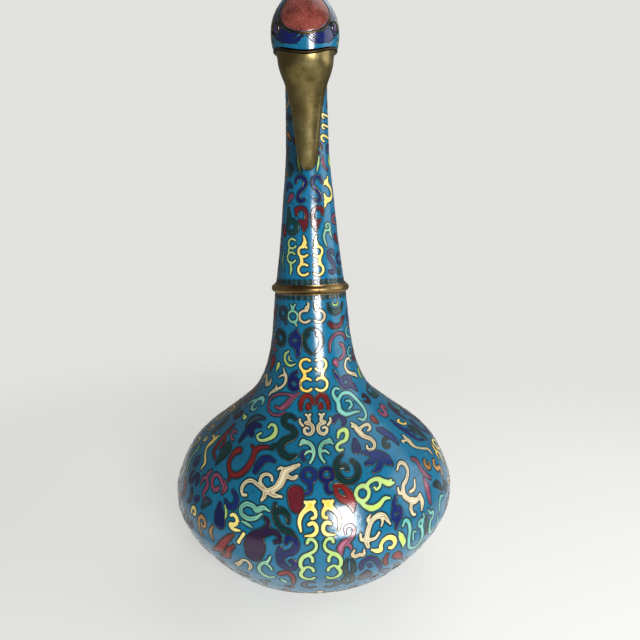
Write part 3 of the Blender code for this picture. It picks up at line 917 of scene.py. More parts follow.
BELLY_LEFT = [
    ("red", [line([(-12.6, 106.4), (-12.8, 102), (-11.4, 96.4)], 4.5, 3.8, .3)]),
    ("cream", [
        line([(-10.5, 123.3), (-15, 121), (-19, 118.4), (-20.6, 113.6), (-24, 109), (-29.6, 106.8),
            (-34.4, 108.9),
              (-39, 110.8), (-43, 109.3), (-45.6, 105.6), (-44.8, 102.4), (-42.4, 102.6)],
             .8, 1.5, 2.1, 2.1, 1.7, 1.3, 1.1, 1, .9, .9, .7),
        line([(-18, 116.4), (-14.6, 115), (-12, 116.4)], 1.3, 1, .8),
        line([(-18.8, 119.6), (-21, 120.8), (-23, 119.6)], 1, .8, .5),
        line([(-31, 108), (-33.6, 111), (-32.8, 114.4), (-29.6, 116), (-26.8, 115), (-26.4, 112.8)], .9,
            .9, .9, .7),
        line([(-29, 106.4), (-25.6, 105), (-20.8, 104.6)], 1.2, 1.1, .6),
        line([(-30.4, 106.4), (-31, 103.6), (-32.6, 101.4)], 1.2, 1, .6),
    ]),
    ("lime", [line([(-30.6, 145.2), (-28.6, 147.6), (-25.8, 146.8), (-25.2, 143.2), (-27.4, 139.6),
            (-32, 136.8),
                    (-36.4, 135.9), (-38.4, 138.2), (-35.8, 140.6)], .6, 1.1, 1.3, 1, .8, .6)]),
    ("navy", [line([(-37, 145), (-41, 144.8), (-45.4, 141.6), (-49.6, 136.4), (-52.8, 131)], .8, 1.8, 1.7,
            1.2, .5),
              blob(-43.4, 138.8, 1.9)]),
    ("green", [
        arc(-16, 151.5, 4, 30, 285, 1, 1.5, 1.3),
        line([(-15.4, 147.6), (-12.8, 144.4), (-14.4, 141), (-19, 138.4), (-21.8, 134.4), (-20.4, 130),
            (-16, 127.6),
              (-12.2, 129.2)], 1.4, 1.7, 1.8, 1.9, 1.9, 1.9, 1.7, .7),
        line([(-21.4, 134), (-25, 134.4), (-27.6, 132.4)], 1.4, .9, 1.3),
    ]),
    ("red", [
        line([(-30, 132.4), (-34.6, 131.6), (-38.6, 128.4), (-40.2, 122.6), (-43.4, 117), (-48, 112.6),
            (-53, 111),
              (-57, 113.6), (-57.6, 119), (-54, 124.4), (-50.8, 126.2)], 1, 1.5, 1.6, 1.4, 1.3, 1.2, 1.8),
        line([(-38.4, 128.4), (-41.6, 131.2)], 1.2, .6), line([(-54, 111.6), (-56.4, 107)], 1.1, .5),
    ]),
    ("navy", [line([(-37.4, 116.6), (-36, 119.6), (-33, 123.8), (-29, 125.6), (-25.4, 124.4)], 1.2, 1.9,
            1.9, 1.5, .7)]),
    ("green", [
        line([(-24.4, 100.4), (-25, 97), (-23.6, 92), (-20.8, 88.4), (-16.6, 86.8), (-13, 84.4)], .6, 1.2,
            1.4, 1.3, 1.4, .6),
        line([(-24, 96.4), (-20.4, 97.6), (-17.4, 95), (-17.2, 91.8)], 1.1, 1.2, 1.1, .7),
    ]),
    ("red", [line([(-64, 138.6), (-68, 133), (-72.6, 126), (-76.4, 118.4), (-72, 115)], .6, 1.3, 1.5, 1.2,
            .6),
             line([(-70.4, 129.8), (-67.6, 126), (-70.4, 121.6)], 1, .9, .5)]),
    ("pink", [line([(-60.4, 99), (-57.2, 103), (-59.6, 106.4)], .4, .8, .4)]),
    ("slate", [line([(-34.6, 150.6), (-40, 150), (-46, 146.4), (-50, 141.6)], .6, 1.6, 1.7, .6)]),
    ("pink", [arc(-60, 132.6, 3.2, 60, 300, .6, 1, .6, shrink=.7)]),
    ("navy", [line([(-7.2, 132), (-8.8, 129), (-7.4, 126)], .5, .9, .5)]),
    ("lime", [line([(-57, 94), (-55.8, 90), (-57, 86.6)], .4, .8, .4)]),
    ("tan", [line([(-66, 80.6), (-68.4, 76), (-66.4, 72.4)], .5, 1.1, .5)]),
    ("green", [drop(-62, 124.5, -70, 112.4, 3.2)]),
    ("pink", [
        line([(-9.8, 170.8), (-14.4, 167.4), (-18.4, 162.6), (-22.4, 159.6), (-26.4, 160)], .5, 1.2, 1.6,
            1.5, .6),
        line([(-12.8, 169), (-19, 169.4), (-26, 168), (-31.4, 164), (-32.6, 158.8), (-29.4, 155),
            (-23.6, 154.8),
              (-19.2, 157.4)], .5, .55, .55, .55, .55, .6, .6, .5),
    ]),
    ("pink", [arc(-66, 103, 5, 40, 330, .7, 1.1, .9, shrink=.6),
        line([(-62.2, 106.2), (-59.4, 103), (-60, 99.6)], .9, .8, .5)]),
    ("navy", [arc(-53, 98.4, 4.2, 70, -150, .8, 1.4, 1.3, .8)]),
    ("mint", [
        line([(-27.8, 96.6), (-31.4, 97.8), (-35.4, 96), (-37.4, 97.6), (-41.6, 98.2), (-45.4, 95.6),
            (-45, 92.4),
              (-40.6, 90.8), (-35.8, 92), (-32.6, 94.4)], .5, 1.4, 1.1, 1, 1.1, 1, .6),
    ]),
    ("mint", [line([(-44.6, 88.6), (-41.4, 88), (-38.4, 86.9)], .4, .8, .4)]),
    ("purple", [
        line([(-37.4, 73), (-36.6, 78), (-34.6, 83.2), (-31.6, 86.2), (-29, 88.6), (-28.8, 91.6),
            (-30.4, 92.6)],
             5.2, 6.2, 4.4, 1.8, 1.2, 1, .7),
        line([(-31, 84.4), (-26, 86.4), (-22.6, 84.8), (-22.2, 82), (-24.6, 81.2)], 1.2, 1.1, 1, .7),
    ]),
    ("navy", [
        line([(-18.6, 81.4), (-17.4, 84), (-14.4, 83.6), (-12.9, 80.6), (-14.8, 77), (-19, 74.6)], .8, 1.3,
            1.4, 1.5, 1.6),
        line([(-22, 78), (-22.4, 73), (-20.4, 67.4), (-16.6, 65), (-14, 66.8), (-14.2, 70), (-16.4, 71)],
             1, 1.8, 2, 1.5, 1.2, .8),
    ]),
    ("red", [line([(-22.4, 59.2), (-19.4, 61.4), (-16.4, 59.2), (-15.2, 54), (-15.8, 46)], 1.6, 1.6, 1.2,
            .9, .5)]),
    ("mint", [
        line([(-27.6, 72.2), (-29.4, 69), (-33, 66.4), (-35, 61.4), (-33.6, 56), (-29.6, 53),
            (-26.4, 54.6)],
             .5, .9, 1, 1, 1.4, .8),
        line([(-31.4, 67.8), (-28.6, 65.6), (-27.2, 62)], .7, .7, .5),
    ]),
    ("cream", [
        line([(-51.6, 58.4), (-47.6, 61.4), (-44.8, 65.6), (-41.4, 65.4), (-40.2, 61), (-42, 56.6)], .5,
            1.3, .9, .9, 1.1, .5),
        line([(-48, 60.6), (-49.6, 56.6)], 1, .5),
    ]),
    ("yellow", [line([(-52.4, 90), (-50, 90.8), (-47.8, 88.6), (-49.2, 86), (-52.6, 85.2), (-50.4, 83.4),
            (-46, 83.6)],
                     .7, 1, 1, 1.1, .9, .5)]),
    ("yellow", [line([(-43.4, 82.4), (-45.4, 79.6), (-47, 77)], .9, .7, .9)]),
    ("red", [
        line([(-50.6, 80.4), (-54, 77.4), (-58.4, 72.4), (-62.6, 67.4), (-68, 63.4)], .7, 1.8, 2.3, 1.9,
            .6),
        line([(-50.4, 73.6), (-54.4, 69.6), (-55.6, 64), (-61.4, 61.4)], .8, 1.7, 1.6, .6),
        line([(-57, 74), (-59.8, 66.4), (-55.4, 64.6)], 1.4, 1.2, 1),
    ]),
    ("navy", [drop(-60.6, 85, -61, 94.6, 3.9)]),
    ("tan", [arc(-75.6, 79, 4.2, 200, -150, 1, 1, .8, shrink=.35),
        line([(-79.4, 77), (-79, 72.6), (-76.4, 70.4)], .9, .8, .5)]),
    ("yellow", [arc(-85.6, 81.6, 3, 200, -120, .8, .9, .6, shrink=.4)]),
    ("pink", [line([(-72.4, 108), (-75.8, 104), (-74, 99.4), (-77, 95), (-75.4, 91.4)], .5, 1, 1.1, 1, .4),
              line([(-75.4, 103), (-79.4, 102), (-81.4, 98.4)], .9, .8, .4)]),
    ("yellow", [
        line([(-78.4, 127), (-83, 122), (-87.4, 117.2), (-85.6, 112.8), (-82.2, 109.8), (-84.8, 105.2)],
             .5, 1.3, 1.2, 1, 1, .4),
        line([(-82.6, 122), (-85.6, 124.4), (-88, 123)], 1, .8, .4),
    ]),
    ("slate", [line([(-69.4, 92.6), (-74, 91), (-77, 87.4)], .6, 1.8, .6)]),
    ("slate", [line([(-30, 46), (-34, 43), (-33, 37)], .6, 1.9, .7)]),
    ("green", [arc(-47, 46, 4.4, 40, 320, .8, 1.3, .8)]),
    ("pink", [arc(-64, 50, 4.6, 200, -120, .7, 1.1, .7, shrink=.5)]),
    ("turquoise", [arc(-80, 59, 5, 60, 300, .7, 1.2, .8),
        line([(-78, 54.8), (-76, 50), (-79, 46)], 1, .9, .5)]),
]

BELLY_RIGHT = [
    ("turquoise", [
        line([(17, 171.6), (14.2, 172.6), (12.3, 170.2), (13.4, 166.8), (15.6, 163), (16.2, 158),
            (20.6, 154.4), (27, 154.6),
              (30.8, 154)], .6, .9, 1.1, 1.6, 1.4, 1, .5),
        line([(15.4, 164.4), (19, 168.4), (25, 167.6), (31, 161.6), (35.4, 155), (35.6, 149.8),
            (32.4, 147.8),
              (29.2, 149.6)], 1.1, 1, 1.1, 1.1, 1, .6),
        line([(21.4, 163.4), (24.4, 162.6), (25.4, 159.6), (22.8, 157.9)], .5, .8, .9, .7),
    ]),
    ("navy", [line([(11.2, 150.4), (13.2, 153.6), (16.8, 153), (18.6, 150), (17.4, 147.6)], .8, 1.2, 1.2,
            1.1, .7)]),
    ("lime", [
        line([(13.2, 139.6), (14.6, 143.4), (18.2, 144.2), (19.4, 141.2), (18, 137.4), (14.6, 136.2),
            (12.2, 134),
              (13, 131.4), (15.6, 131.4)], .6, 1.2, 1.4, 1.2, 1, .9, .6),
    ]),
    ("cream", [
        line([(23.2, 148), (25.2, 145.4), (27.2, 142), (30.4, 137.6), (35, 134.6), (37.6, 130.6),
            (35.8, 127.8),
              (32.4, 128.2), (31.6, 130.8)], .5, 1.5, 1.6, 1.2, 1.1, 1, .9, .6),
        line([(28.4, 142.6), (31.8, 144), (35.6, 143.8), (36.9, 141.2), (34.6, 140)], .9, .9, .9, .6),
        blob(23.4, 145.4, .8),
    ]),
    ("navy", [drop(24.4, 130, 23.6, 137.6, 2.4)]),
    ("navy", [
        line([(28, 127.2), (32.6, 126), (38, 123.4), (43, 119.8), (47.6, 115)], .7, 1.8, 2.5, 2.6, .7),
        line([(36, 124), (33.6, 120.8), (29.8, 120)], 1.8, 1.6, 1),
        line([(40, 120), (37.4, 115.8), (33.4, 114.2)], 2, 1.6, .6),
    ]),
    ("navy", [line([(43, 138.6), (47, 136), (51, 132.4), (55.4, 128.4), (57.6, 124.4)], .8, 1.8, 1.9, 1.5,
            .6)]),
    ("green", [arc(47.6, 128.6, 2.6, 60, 300, .8, 1.1, .8)]),
    ("red", [drop(41, 146.6, 45.6, 141.6, 1.8)]),
    ("green", [
        line([(15, 128.6), (12, 125.2), (10.6, 120.4), (11.9, 115.2), (15.4, 111.9), (19.8, 111.8),
            (23.4, 115),
              (23.2, 120), (20.4, 123.6)], .6, 1.3, 1.6, 1.6, 1.5, 1.4, .8),
        line([(12, 121), (15.8, 121), (17.2, 118.6)], 1, 1.1, .8),
    ]),
    ("red", [
        line([(9.6, 110.4), (13, 109.6), (16.2, 106.2), (18, 101.6), (18.8, 95.6)], 1, 1.3, 1.9, 2.4, .5),
        line([(9.4, 109.6), (10.2, 105.6), (13, 102.6), (16.8, 101)], 1, 1.2, 1.6, 2),
    ]),
    ("lime", [
        arc(24.9, 104, 4, 0, 360, 1, 1), line([(27.4, 107.2), (30.4, 109.4), (35, 109.8), (39, 107.6),
            (43, 105.4),
                                               (46.2, 105)], 1, 1.1, 1.1, 1.2, 1.6, .6),
        blob(44.2, 106.8, .8), line([(36.6, 109.2), (36.4, 105.8), (33.8, 104.4), (32.4, 105.8)], .9, .8,
            .5),
        line([(22.6, 100.6), (25.6, 97.4), (30, 95.4), (34.6, 96.2), (38.4, 98.6), (42, 98)], .6, 1, 1.5,
            1.5, 1.1, .5),
    ]),
    ("cream", [
        line([(50.6, 111), (53.4, 113.8), (57.4, 112.4), (59.2, 108), (56.6, 104), (53, 101.4), (52.6, 97),
            (56, 93.4),
              (61, 91), (65.6, 91.6)], .6, 1, 1, 1, 1.2, 1.3, 1.3, 1.6, 1),
        line([(59, 92.4), (57, 88.6), (58, 85), (60, 84.2)], 1.2, 1.1, .9, .6),
        line([(66, 92), (67.6, 88), (66, 84.4)], 1.4, 1.5, .5),
        line([(52.4, 98.4), (49.4, 98.6), (48.6, 101.6)], .9, .8, .5),
        line([(63.4, 101.4), (62, 97.4), (58, 96.8)], .6, .9, .8),
    ]),
    ("pink", [
        line([(66, 112.6), (70.4, 109.6), (72.4, 104.4), (76.4, 99.8), (81, 96.6)], .6, 1.1, 1.1, 1.2, .6),
        line([(73, 98.6), (75, 92.6), (75.4, 86.4), (76, 84.6)], .9, 2.2, 1.8, .6),
    ]),
    ("pink", [line([(11.4, 73.8), (10.8, 77.6), (13, 80.6), (16.8, 82.4), (18.8, 86), (16.8, 89),
            (13.8, 88),
                    (13.8, 85)], .5, 1.8, 1.5, 1, .9, .8, .7, .4),
              line([(13.4, 80.6), (16, 78.6), (17, 76.2)], 1, .8, .4)]),
    ("cream", [
        line([(26.6, 75.8), (25.6, 79.6), (26.8, 84.6), (29, 88.8), (33, 90.8), (37, 90), (39.2, 87.2),
            (40.9, 84.8)],
             1, 1.4, 1.3, 1.2, 1.5, 1.1, .4),
        line([(26, 80.4), (22.8, 80.6), (22.2, 83.6)], .9, .8, .6),
        line([(27, 79.6), (30.8, 79.8), (33.4, 82.2)], .9, .8, .6),
        line([(28.6, 88.8), (26.8, 90), (28.8, 92.4)], .9, .7, .4),
        line([(35.6, 89.6), (36, 87.2), (34.9, 85.2)], .8, .6, .4),
    ]),
    ("cream", [line([(18.6, 75.4), (17.4, 73), (19, 71.5), (21.4, 72), (24, 71.8), (24.2, 74.4)], .5, .9,
            .9, .9, .5)]),
    ("yellow", [line([(28.9, 73.2), (31.6, 72), (34.4, 71.8), (34.4, 74.4), (36, 77), (39.4, 78),
            (42.8, 76.2),
                      (43.8, 73), (41.8, 71), (39.8, 71.6)], .5, 1.2, 1.1, 1.1, 1.3, 1.4, 1.1, .7)]),
    ("lime", [line([(46.8, 78.6), (48.4, 75), (50, 71.4), (49.8, 68.4)], .5, 1.8, 1.8, .5)]),
    ("turquoise", [
        line([(49.6, 81.4), (51.4, 83.6), (54, 82), (55, 77), (54.2, 71), (55, 65.4), (58.6, 61.6),
            (63.2, 61.6), (66, 65.6),
              (66.2, 71), (65.2, 75.4)], .7, 1.1, 1.1, 1.1, 1.1, 1.2, 1.1, 1.2, 1.2),
        arc(64.4, 77.4, 1.9, 0, 360, .8, .8), line([(66, 78.4), (67.6, 80), (67.4, 82)], .7, .6, .4),
    ]),
    ("turquoise", [line([(60.4, 73.6), (58.6, 74.6), (57.6, 72.4), (58, 68.6)], .4, .6, .6, .4)]),
    ("turquoise", [line([(72.6, 82), (74.6, 79.4), (77.6, 79), (77.4, 76), (74.6, 74), (73.8, 69),
            (76, 64.8), (80.4, 64.4),
                         (83.8, 68), (84.4, 73)], .5, .9, .9, .9, 1.1, 1.2, 1.2, 1, .5)]),
    ("turquoise", [line([(87.6, 74), (86.8, 79.6), (90, 82.6), (94.6, 81.4)], .6, 1.1, 1.1, .5)]),
    ("green", [line([(70, 79), (70.6, 74), (69.8, 68)], .6, 1.7, .7)]),
    ("navy", [
        arc(46, 88.6, 2.8, 0, 360, 1.3, 1.3), line([(45, 91.8), (44.6, 94.4), (46.4, 97.4)], 1.5, 1.1, .6),
        line([(46, 86), (45.2, 83.6), (44.8, 81.6)], 1.4, 1, .5),
    ]),
    ("green", [line([(83.4, 92), (88, 90.6), (92, 87.6), (95, 85)], .6, 1.5, 1.3, .5)]),
    ("green", [
        line([(14.6, 70.4), (13.4, 66), (13.6, 60), (16, 57.4), (18.4, 60), (18, 66), (16.8, 70)], .6, 1.1,
            1.1, .9, 1.1, 1.1, .6),
        line([(16, 57), (13.4, 52), (13.2, 46.6), (15.8, 43), (18.4, 46.6), (18, 52), (16, 56.6)], 1, 1.1,
            1.1, 1, 1.1, 1.1, .9),
    ]),
    ("navy", [line([(23, 60), (22.8, 64.6), (25.6, 68), (29.4, 67.8), (32, 64), (34.2, 59.4), (35.4, 55)],
                   .6, 1.3, 1.4, 1.4, 1.3, 1.1, .6)]),
    ("navy", [line([(26.8, 63.2), (28.2, 61.6), (28.6, 59.8)], .6, 1, .5)]),
    ("purple", [drop(26, 48.4, 26.4, 57, 4)]),
    ("navy", [line([(35.6, 51.6), (38, 49), (41, 45.4), (42, 40)], .7, 2.3, 2.2, 1)]),
    ("red", [line([(38.8, 67), (37.6, 62), (39.6, 56.4)], .8, 1.4, .7)]),
    ("red", [drop(45.6, 63.4, 50.6, 56, 2.7)]),
    ("slate", [line([(52, 53), (56, 50), (57, 44)], .6, 1.9, .7)]),
    ("mint", [arc(70, 54, 4.6, 60, 300, .7, 1.1, .7)]),
    ("pink", [arc(86, 58, 4.2, 250, -60, .7, 1.1, .7, shrink=.5)]),
]

# Scrolls of the small band round the belly's foot; each one stands at its own turn.
FOOT_SCROLL = [
    arc(-4, 24, 3.8, 40, 300, .7, 1.1, .7, shrink=.8),
    line([(-2.2, 20.8), (-1.4, 15), (-1.2, 11)], .9, .9, .6),
]
FOOT_DROP = [drop(0, 32, 0, 26.6, 2)]
FOOT_BAND = ("yellow", "mint", "red", "cream", "navy", "turquoise", "lime", "pink")

NECK_SIDES = [
    ("mint", [
        blob(-13.1, 225, 1.4), line([(-13.6, 226), (-14.4, 228.2)], .7, .4),
        line([(-12.4, 225.6), (-10.8, 228)], .8, .5),
        arc(-12.9, 219.8, 3.6, 0, 360, .9, .9), line([(-11.6, 216.4), (-10.6, 213.8)], .9, .5),
    ]),
    ("slate", [arc(-21, 221.4, 3.4, 0, 360, .9, .9), line([(-19.6, 218), (-18.6, 215)], .8, .5)]),
    ("navy", [
        arc(-11.6, 204.4, 3.3, 0, 360, 1.5, 1.5), line([(-10.2, 200.8), (-9.9, 197), (-10.3, 193.6)], 2,
            1.5, .4),
        line([(-12.4, 208), (-10.4, 210.8)], 1.4, .7),
    ]),
    ("green", [arc(-24, 205, 4, 0, 360, 1.3, 1.3)]),
    ("lime", [line([(-16.6, 197), (-19.6, 194.4), (-19.4, 190.2), (-15.8, 187.8), (-12, 189.2)], .6, 1,
            1.1, .9, .5)]),
    ("lime", [line([(-16.4, 194), (-16.4, 191.6), (-14.2, 190.9)], .4, .6, .4)]),
    ("navy", [arc(-13, 176.4, 3.3, 0, 360, 1.2, 1.2),
        line([(-15.6, 178.4), (-13.8, 181.8), (-10.6, 184.4)], 1.2, 1.1, .6)]),
    ("cream", [
        line([(-21, 186), (-20.2, 183.4), (-18.8, 180.8), (-19.4, 176.8), (-22.4, 173.4), (-26.8, 171.2),
            (-31, 168.6),
              (-34, 165.4)], .4, 1, 1.2, .9, .9, 1.4, .9, .4),
        line([(-19.4, 181.2), (-22, 181), (-25, 179.2)], .9, .7, .4),
        line([(-27.2, 171.8), (-26.4, 174)], .8, .4),
    ]),
    ("red", [drop(-32, 190, -35.4, 181, 2.3)]),
    ("pink", [arc(-30.4, 199, 3, 60, 300, .6, 1, .6)]),
    ("mint", [arc(-34.4, 209, 3.6, 40, 320, .7, 1, .7)]),
    ("pink", [line([(-28.6, 225), (-31.6, 220.6), (-30.4, 216.4)], .6, 1.2, .5)]),
    ("green", [line([(11.2, 227.4), (12.6, 223.6), (17, 221.8), (21.6, 223.2), (24.6, 226.6)], .7, 1.5,
            1.8, 1.5, .7)]),
    ("lime", [line([(14, 228.6), (15.6, 226.4), (18.4, 226.6), (19.4, 228.6)], .4, .7, .7, .4)]),
    ("red", [line([(11.6, 215), (14, 213), (18.4, 212.2), (22.2, 213.8), (23.2, 216.6), (25.8, 217.2)], .9,
            1.4, 1.3, 1.3, 1.3, .6)]),
    ("pink", [line([(11.4, 196.6), (11.6, 202), (14.4, 206.2), (19, 207.8), (23.8, 206.2), (26.4, 202.8)],
                   .4, .75, .75, .75, .6)]),
    ("pink", [line([(20, 200.6), (22.8, 198.8), (23.9, 195), (21.7, 191.6), (18.4, 190.8)], .5, 1, 1.1, .8,
            .5)]),
    ("pink", [drop(15.2, 189.6, 17.2, 185.8, 1.7)]),
    ("cream", [line([(30, 187.2), (28.4, 189.6), (25, 188.9), (23.5, 185.6), (25.5, 181.6), (29.6, 179.4),
            (33.8, 177.8),
                     (36.4, 175.4)], .6, 1, 1, 1, 1.2, 1.5, .5)]),
    ("turquoise", [line([(31, 210.8), (28, 209.2), (27.8, 205.6), (31, 203.4), (35, 202.4)], .5, .9, .9,
            .8, .4)]),
    ("turquoise", [arc(31, 193.4, 3, 60, 300, .6, .8, .6)]),
    ("navy", [
        line([(14, 184), (15.8, 180), (18.6, 176.8)], .5, 1, 1),
        arc(23.2, 175.2, 4, 0, 360, 1.2, 1.2, tall=.75),
        line([(26.6, 173.4), (30, 171), (33, 167.6)], 1.8, 1.5, .5),
    ]),
    ("navy", [line([(33, 222), (30.4, 218.4), (32, 214.4)], .5, 1.2, .5)]),
    ("red", [arc(37.6, 190, 3, 60, 300, .7, 1, .7)]),
    ("lime", [
        arc(-12.4, 266.8, 3.1, 40, 330, .7, .85, .7), arc(-13.2, 257.8, 3.4, 40, 330, .7, .85, .7),
        line([(-14.8, 264), (-15.4, 262.4), (-15.2, 260.8)], .8, .9, .8),
        line([(-14, 254.6), (-13.6, 250), (-14.4, 246.8)], .9, 1.1, .4),
    ]),
    ("mint", [line([(-20.4, 262), (-22, 256), (-20.4, 250)], .4, .9, .4)]),
    ("green", [arc(-12.6, 277.4, 3.8, 170, -150, .8, 1.3, 1.3, .8),
               line([(-16, 279), (-14.8, 284), (-15.2, 289.4)], 1.1, 1.2, .5)]),
    ("red", [drop(-19.6, 273.6, -20.6, 280, 1.7)]),
    ("pink", [drop(-12.4, 297.2, -16.4, 292.6, 1.6)]),
    ("navy", [line([(-12, 303), (-15, 304.6), (-16.8, 301.4)], .6, 1.1, .5)]),
    ("green", [line([(-14.6, 318), (-12.4, 314.6), (-13.4, 310.4)], .6, 1.2, .6)]),
    ("tan", [line([(-12.6, 333), (-16, 336.6), (-21, 338)], .7, 1.8, .8)]),
    ("pink", [arc(-16.6, 325.6, 2.3, 60, 300, .5, .8, .5)]),
    ("slate", [line([(-12.6, 345), (-16, 347.6), (-20, 347)], .5, 1.2, .5)]),
    ("mint", [
        arc(12.5, 277.6, 2.9, -120, 250, .8, .8, .6, shrink=.3),
        line([(10.6, 275.2), (9.3, 270.4), (11.5, 264.4)], .8, .9, .4),
        line([(14.6, 275.8), (15.4, 272), (16.8, 269.4)], .7, .7, .3),
    ]),
    ("navy", [line([(17.2, 259.6), (15.6, 261.8), (13, 261.2), (12.9, 258), (15.8, 254.4), (17.4, 250.6),
            (15.4, 247.8),
                    (12.8, 248.6)], .6, .9, 1, 1.1, 1.1, 1, .6)]),
    ("navy", [arc(24.4, 256.4, 3.2, 70, 290, .7, 1.1, .7)]),
    ("red", [drop(20.6, 270.6, 24.6, 266, 2)]),
    ("pink", [arc(20.6, 282.4, 2.6, 40, 300, .6, .9, .6)]),
    ("yellow", [
        blob(12.8, 305.4, 1.8), line([(13.4, 306.4), (14.6, 309.6)], 1.4, .5),
        line([(11.8, 306.4), (10.8, 304)], 1.1, .7),
        line([(13.8, 304.8), (17.2, 302), (18.8, 298.2), (16.4, 295.2), (12.6, 294.4)], 1.8, 1.4, 1.2, 1.5,
            2.3),
        line([(11.8, 295.6), (10.6, 298)], 1.3, .6), line([(11.8, 293.6), (10.8, 290)], 1.6, .6),
    ]),
    ("pink", [line([(10.2, 322), (10.4, 318), (12.2, 315.2), (14.8, 313.8)], .4, 1.1, .7, .4)]),
    ("yellow", [line([(12.4, 331.4), (10.2, 331.8), (9.6, 334), (12, 334.9), (18, 334.4), (25, 335.4),
            (29, 335.8)],
                     .5, .9, .9, .9, 1.2, 1, .5)]),
    ("yellow", [line([(12.6, 339.2), (10.9, 339.4), (10.9, 341.3), (14.6, 341.2), (21, 341.8), (28, 342.8)],
                     .5, .8, .8, 1.1, .9, .4)]),
    ("yellow", [line([(12.4, 345.6), (10.7, 346), (10.7, 347.8), (14, 347.6), (20, 348.2), (27, 349.4)],
                     .5, .8, .8, 1, .9, .4)]),
]

# Scrolls of the bent top and the head, in millimetres across from the crest's middle line and
# down from the crown's centre.
HEAD_SCROLLS = [
    ("navy", [
        line([(-17.6, 14.2), (-14.6, 15.4), (-12.6, 18.6)], 1.2, 2.7, 1.6),
        line([(-13.6, 14.8), (-9, 18), (-5.4, 18.2), (-3.2, 16.6)], 1.6, 1.2, 1.1, .4),
        line([(-12.8, 18), (-9, 21), (-4.6, 21.4), (-1.6, 19.2)], 1.8, 1.2, 1.1, .4),
    ]),
    ("navy", [line([(-15.4, 5.4), (-13.2, 9.6), (-13.6, 12)], .4, 1, .5)]),
    ("navy", [line([(-17.6, -8), (-18.4, -2), (-17.4, 3)], .6, 1.4, .8)]),
    ("green", [line([(-22, -10), (-23.4, -2), (-22, 6)], .7, 2, .8)]),
    ("mint", [arc(-24.6, 12.6, 2.8, 60, 300, .6, .9, .6)]),
    ("yellow", [line([(-13, -16), (-8, -19.6), (-3, -18.4), (-2.4, -15.8)], .5, 1, 1, .6)]),
    ("red", [line([(-20, -18), (-16, -22), (-11, -23)], .6, 1.5, .6)]),
    ("cream", [arc(-5, -27, 3, 60, 320, .6, .9, .6, shrink=.7)]),
    ("turquoise", [line([(-14.6, -28), (-18.6, -31), (-19, -36)], .6, 1.1, .5)]),
    ("navy", [line([(-3.4, -33), (-7, -36), (-7, -40.6), (-3.6, -42.4)], .6, 1, 1, .6)]),
]


# Small scrolls for the ground that is left, about their own middles, the larger ones first.
FILLER_TRIES = 5000
FILLER_TOP = 366.0
FOOT_BAND_TOP = 36.0
FILLER_RING_GAP = 7
FILLER_COLOURS = (
    "navy", "green", "red", "navy", "green", "slate", "purple", "pink", "turquoise",
    "navy", "green", "red", "mint", "lime", "yellow", "cream", "tan",
)
# The throat under the head stays without them, from this far below the bend and this far round.
BARE_THROAT = 12
BARE_THROAT_TURN = 75
FILLERS = [
    [line([(-6.4, 1.2), (-5.4, 4.2), (-2, 5.4), (1.4, 3.6), (2.4, 0), (0.8, -3.4), (-2.4, -4),
            (-3.6, -1.6)],
          .5, 1.3, 1.6, 1.5, 1.3, 1.1, .9, .5),
     line([(2, 1.8), (5.2, 2), (7.4, -0.2), (7.6, -3.2)], 1.4, 1.2, 1, .4)],
    [line([(-4.6, 4), (-1.8, 5.4), (0.8, 3.6), (0, 0.6), (-1, -2.2), (0.8, -4.8), (4, -4.2), (4.6, -1.8)],
          .5, 1.2, 1.3, 1.4, 1.4, 1.3, 1, .5)],
    [line([(0, -4.6), (1.4, -1.6), (0, 2)], 1.2, 3, 1.2), line([(0, 1.6), (-2, 4), (-4.4, 3)], 1.2, .9, .4),
     line([(0.4, 2), (2.4, 4.2), (4.6, 3.4)], 1.1, .8, .4)],
    [arc(0, 0, 3, 20, 310, .6, 1.3, 1.2, .5, shrink=.7)],
    [line([(-4, -1.6), (-1.6, 1), (1.8, 1.4), (4.4, -0.6)], .4, 1.3, 1.2, .4)],
    [drop(-2.4, 0, 2.8, 0, 1.5)],
    [arc(0, 0, 1.7, 40, 320, .5, .9, .5)],
]


# --- settings --------------------------------------------------------------------------


class VaseSettings(bpy.types.PropertyGroup):
    cell_size: FloatProperty(
        name="Enamel facet",
        description="Width of the facets that the enamel cells are made of",
        default=0.0004,
        min=0.0002,
        precision=5,
        unit="LENGTH",
    )
    wire_width: FloatProperty(
        name="Wire width",
        description="Width of the brass wires between the enamels",
        default=0.00046,
        precision=5,
        unit="LENGTH",
    )
    fillet_size: FloatProperty(
        name="Joint fillet",
        description="How far two strokes of one scroll flow together where they meet",
        default=0.0009,
        precision=5,
        unit="LENGTH",
    )
    row_size: FloatProperty(
        name="Ground facet",
        description="Height of the facets of the azure ground",
        default=0.0016,
        precision=5,
        unit="LENGTH",
    )
    rim_size: FloatProperty(
        name="Coat thickness",
        description="Thickness of the fired enamel coat, which shows at its rims",
        default=0.0011,
        precision=5,
        unit="LENGTH",
    )
    belly_facets: IntProperty(
        name="Belly facets", description="Facets round the belly", default=224, min=32
    )
    neck_facets: IntProperty(
        name="Neck facets", description="Facets round the upper neck and the head", default=112, min=24
    )
    wire_faces: IntProperty(
        name="Faces in a wire piece", description="A new wire piece starts past this", default=88000
    )
    seed: IntProperty(name="Seed", description="Varies the enamel tints and the ground's curls", default=7)


class StageSettings(bpy.types.PropertyGroup):
    backdrop: FloatVectorProperty(
        name="Backdrop",
        description="Colour of the floor and of what stands behind",
        default=(0.76, 0.755, 0.73),
        subtype="COLOR",
        min=0,
        max=1,
    )
    key_power: FloatProperty(name="Window", description="Power of the key light", default=8.5, unit="POWER")
    top_power: FloatProperty(name="Top light", description="Power of the overhead light", default=5.0,
        unit="POWER")
    side_power: FloatProperty(name="Side light", description="Power of the right-hand light", default=6.0,
        unit="POWER")
    ambient: FloatProperty(name="Ambient", description="Strength of the light from all around",
        default=0.24)
    lens: FloatProperty(name="Lens", description="Focal length in millimetres", default=27.06)


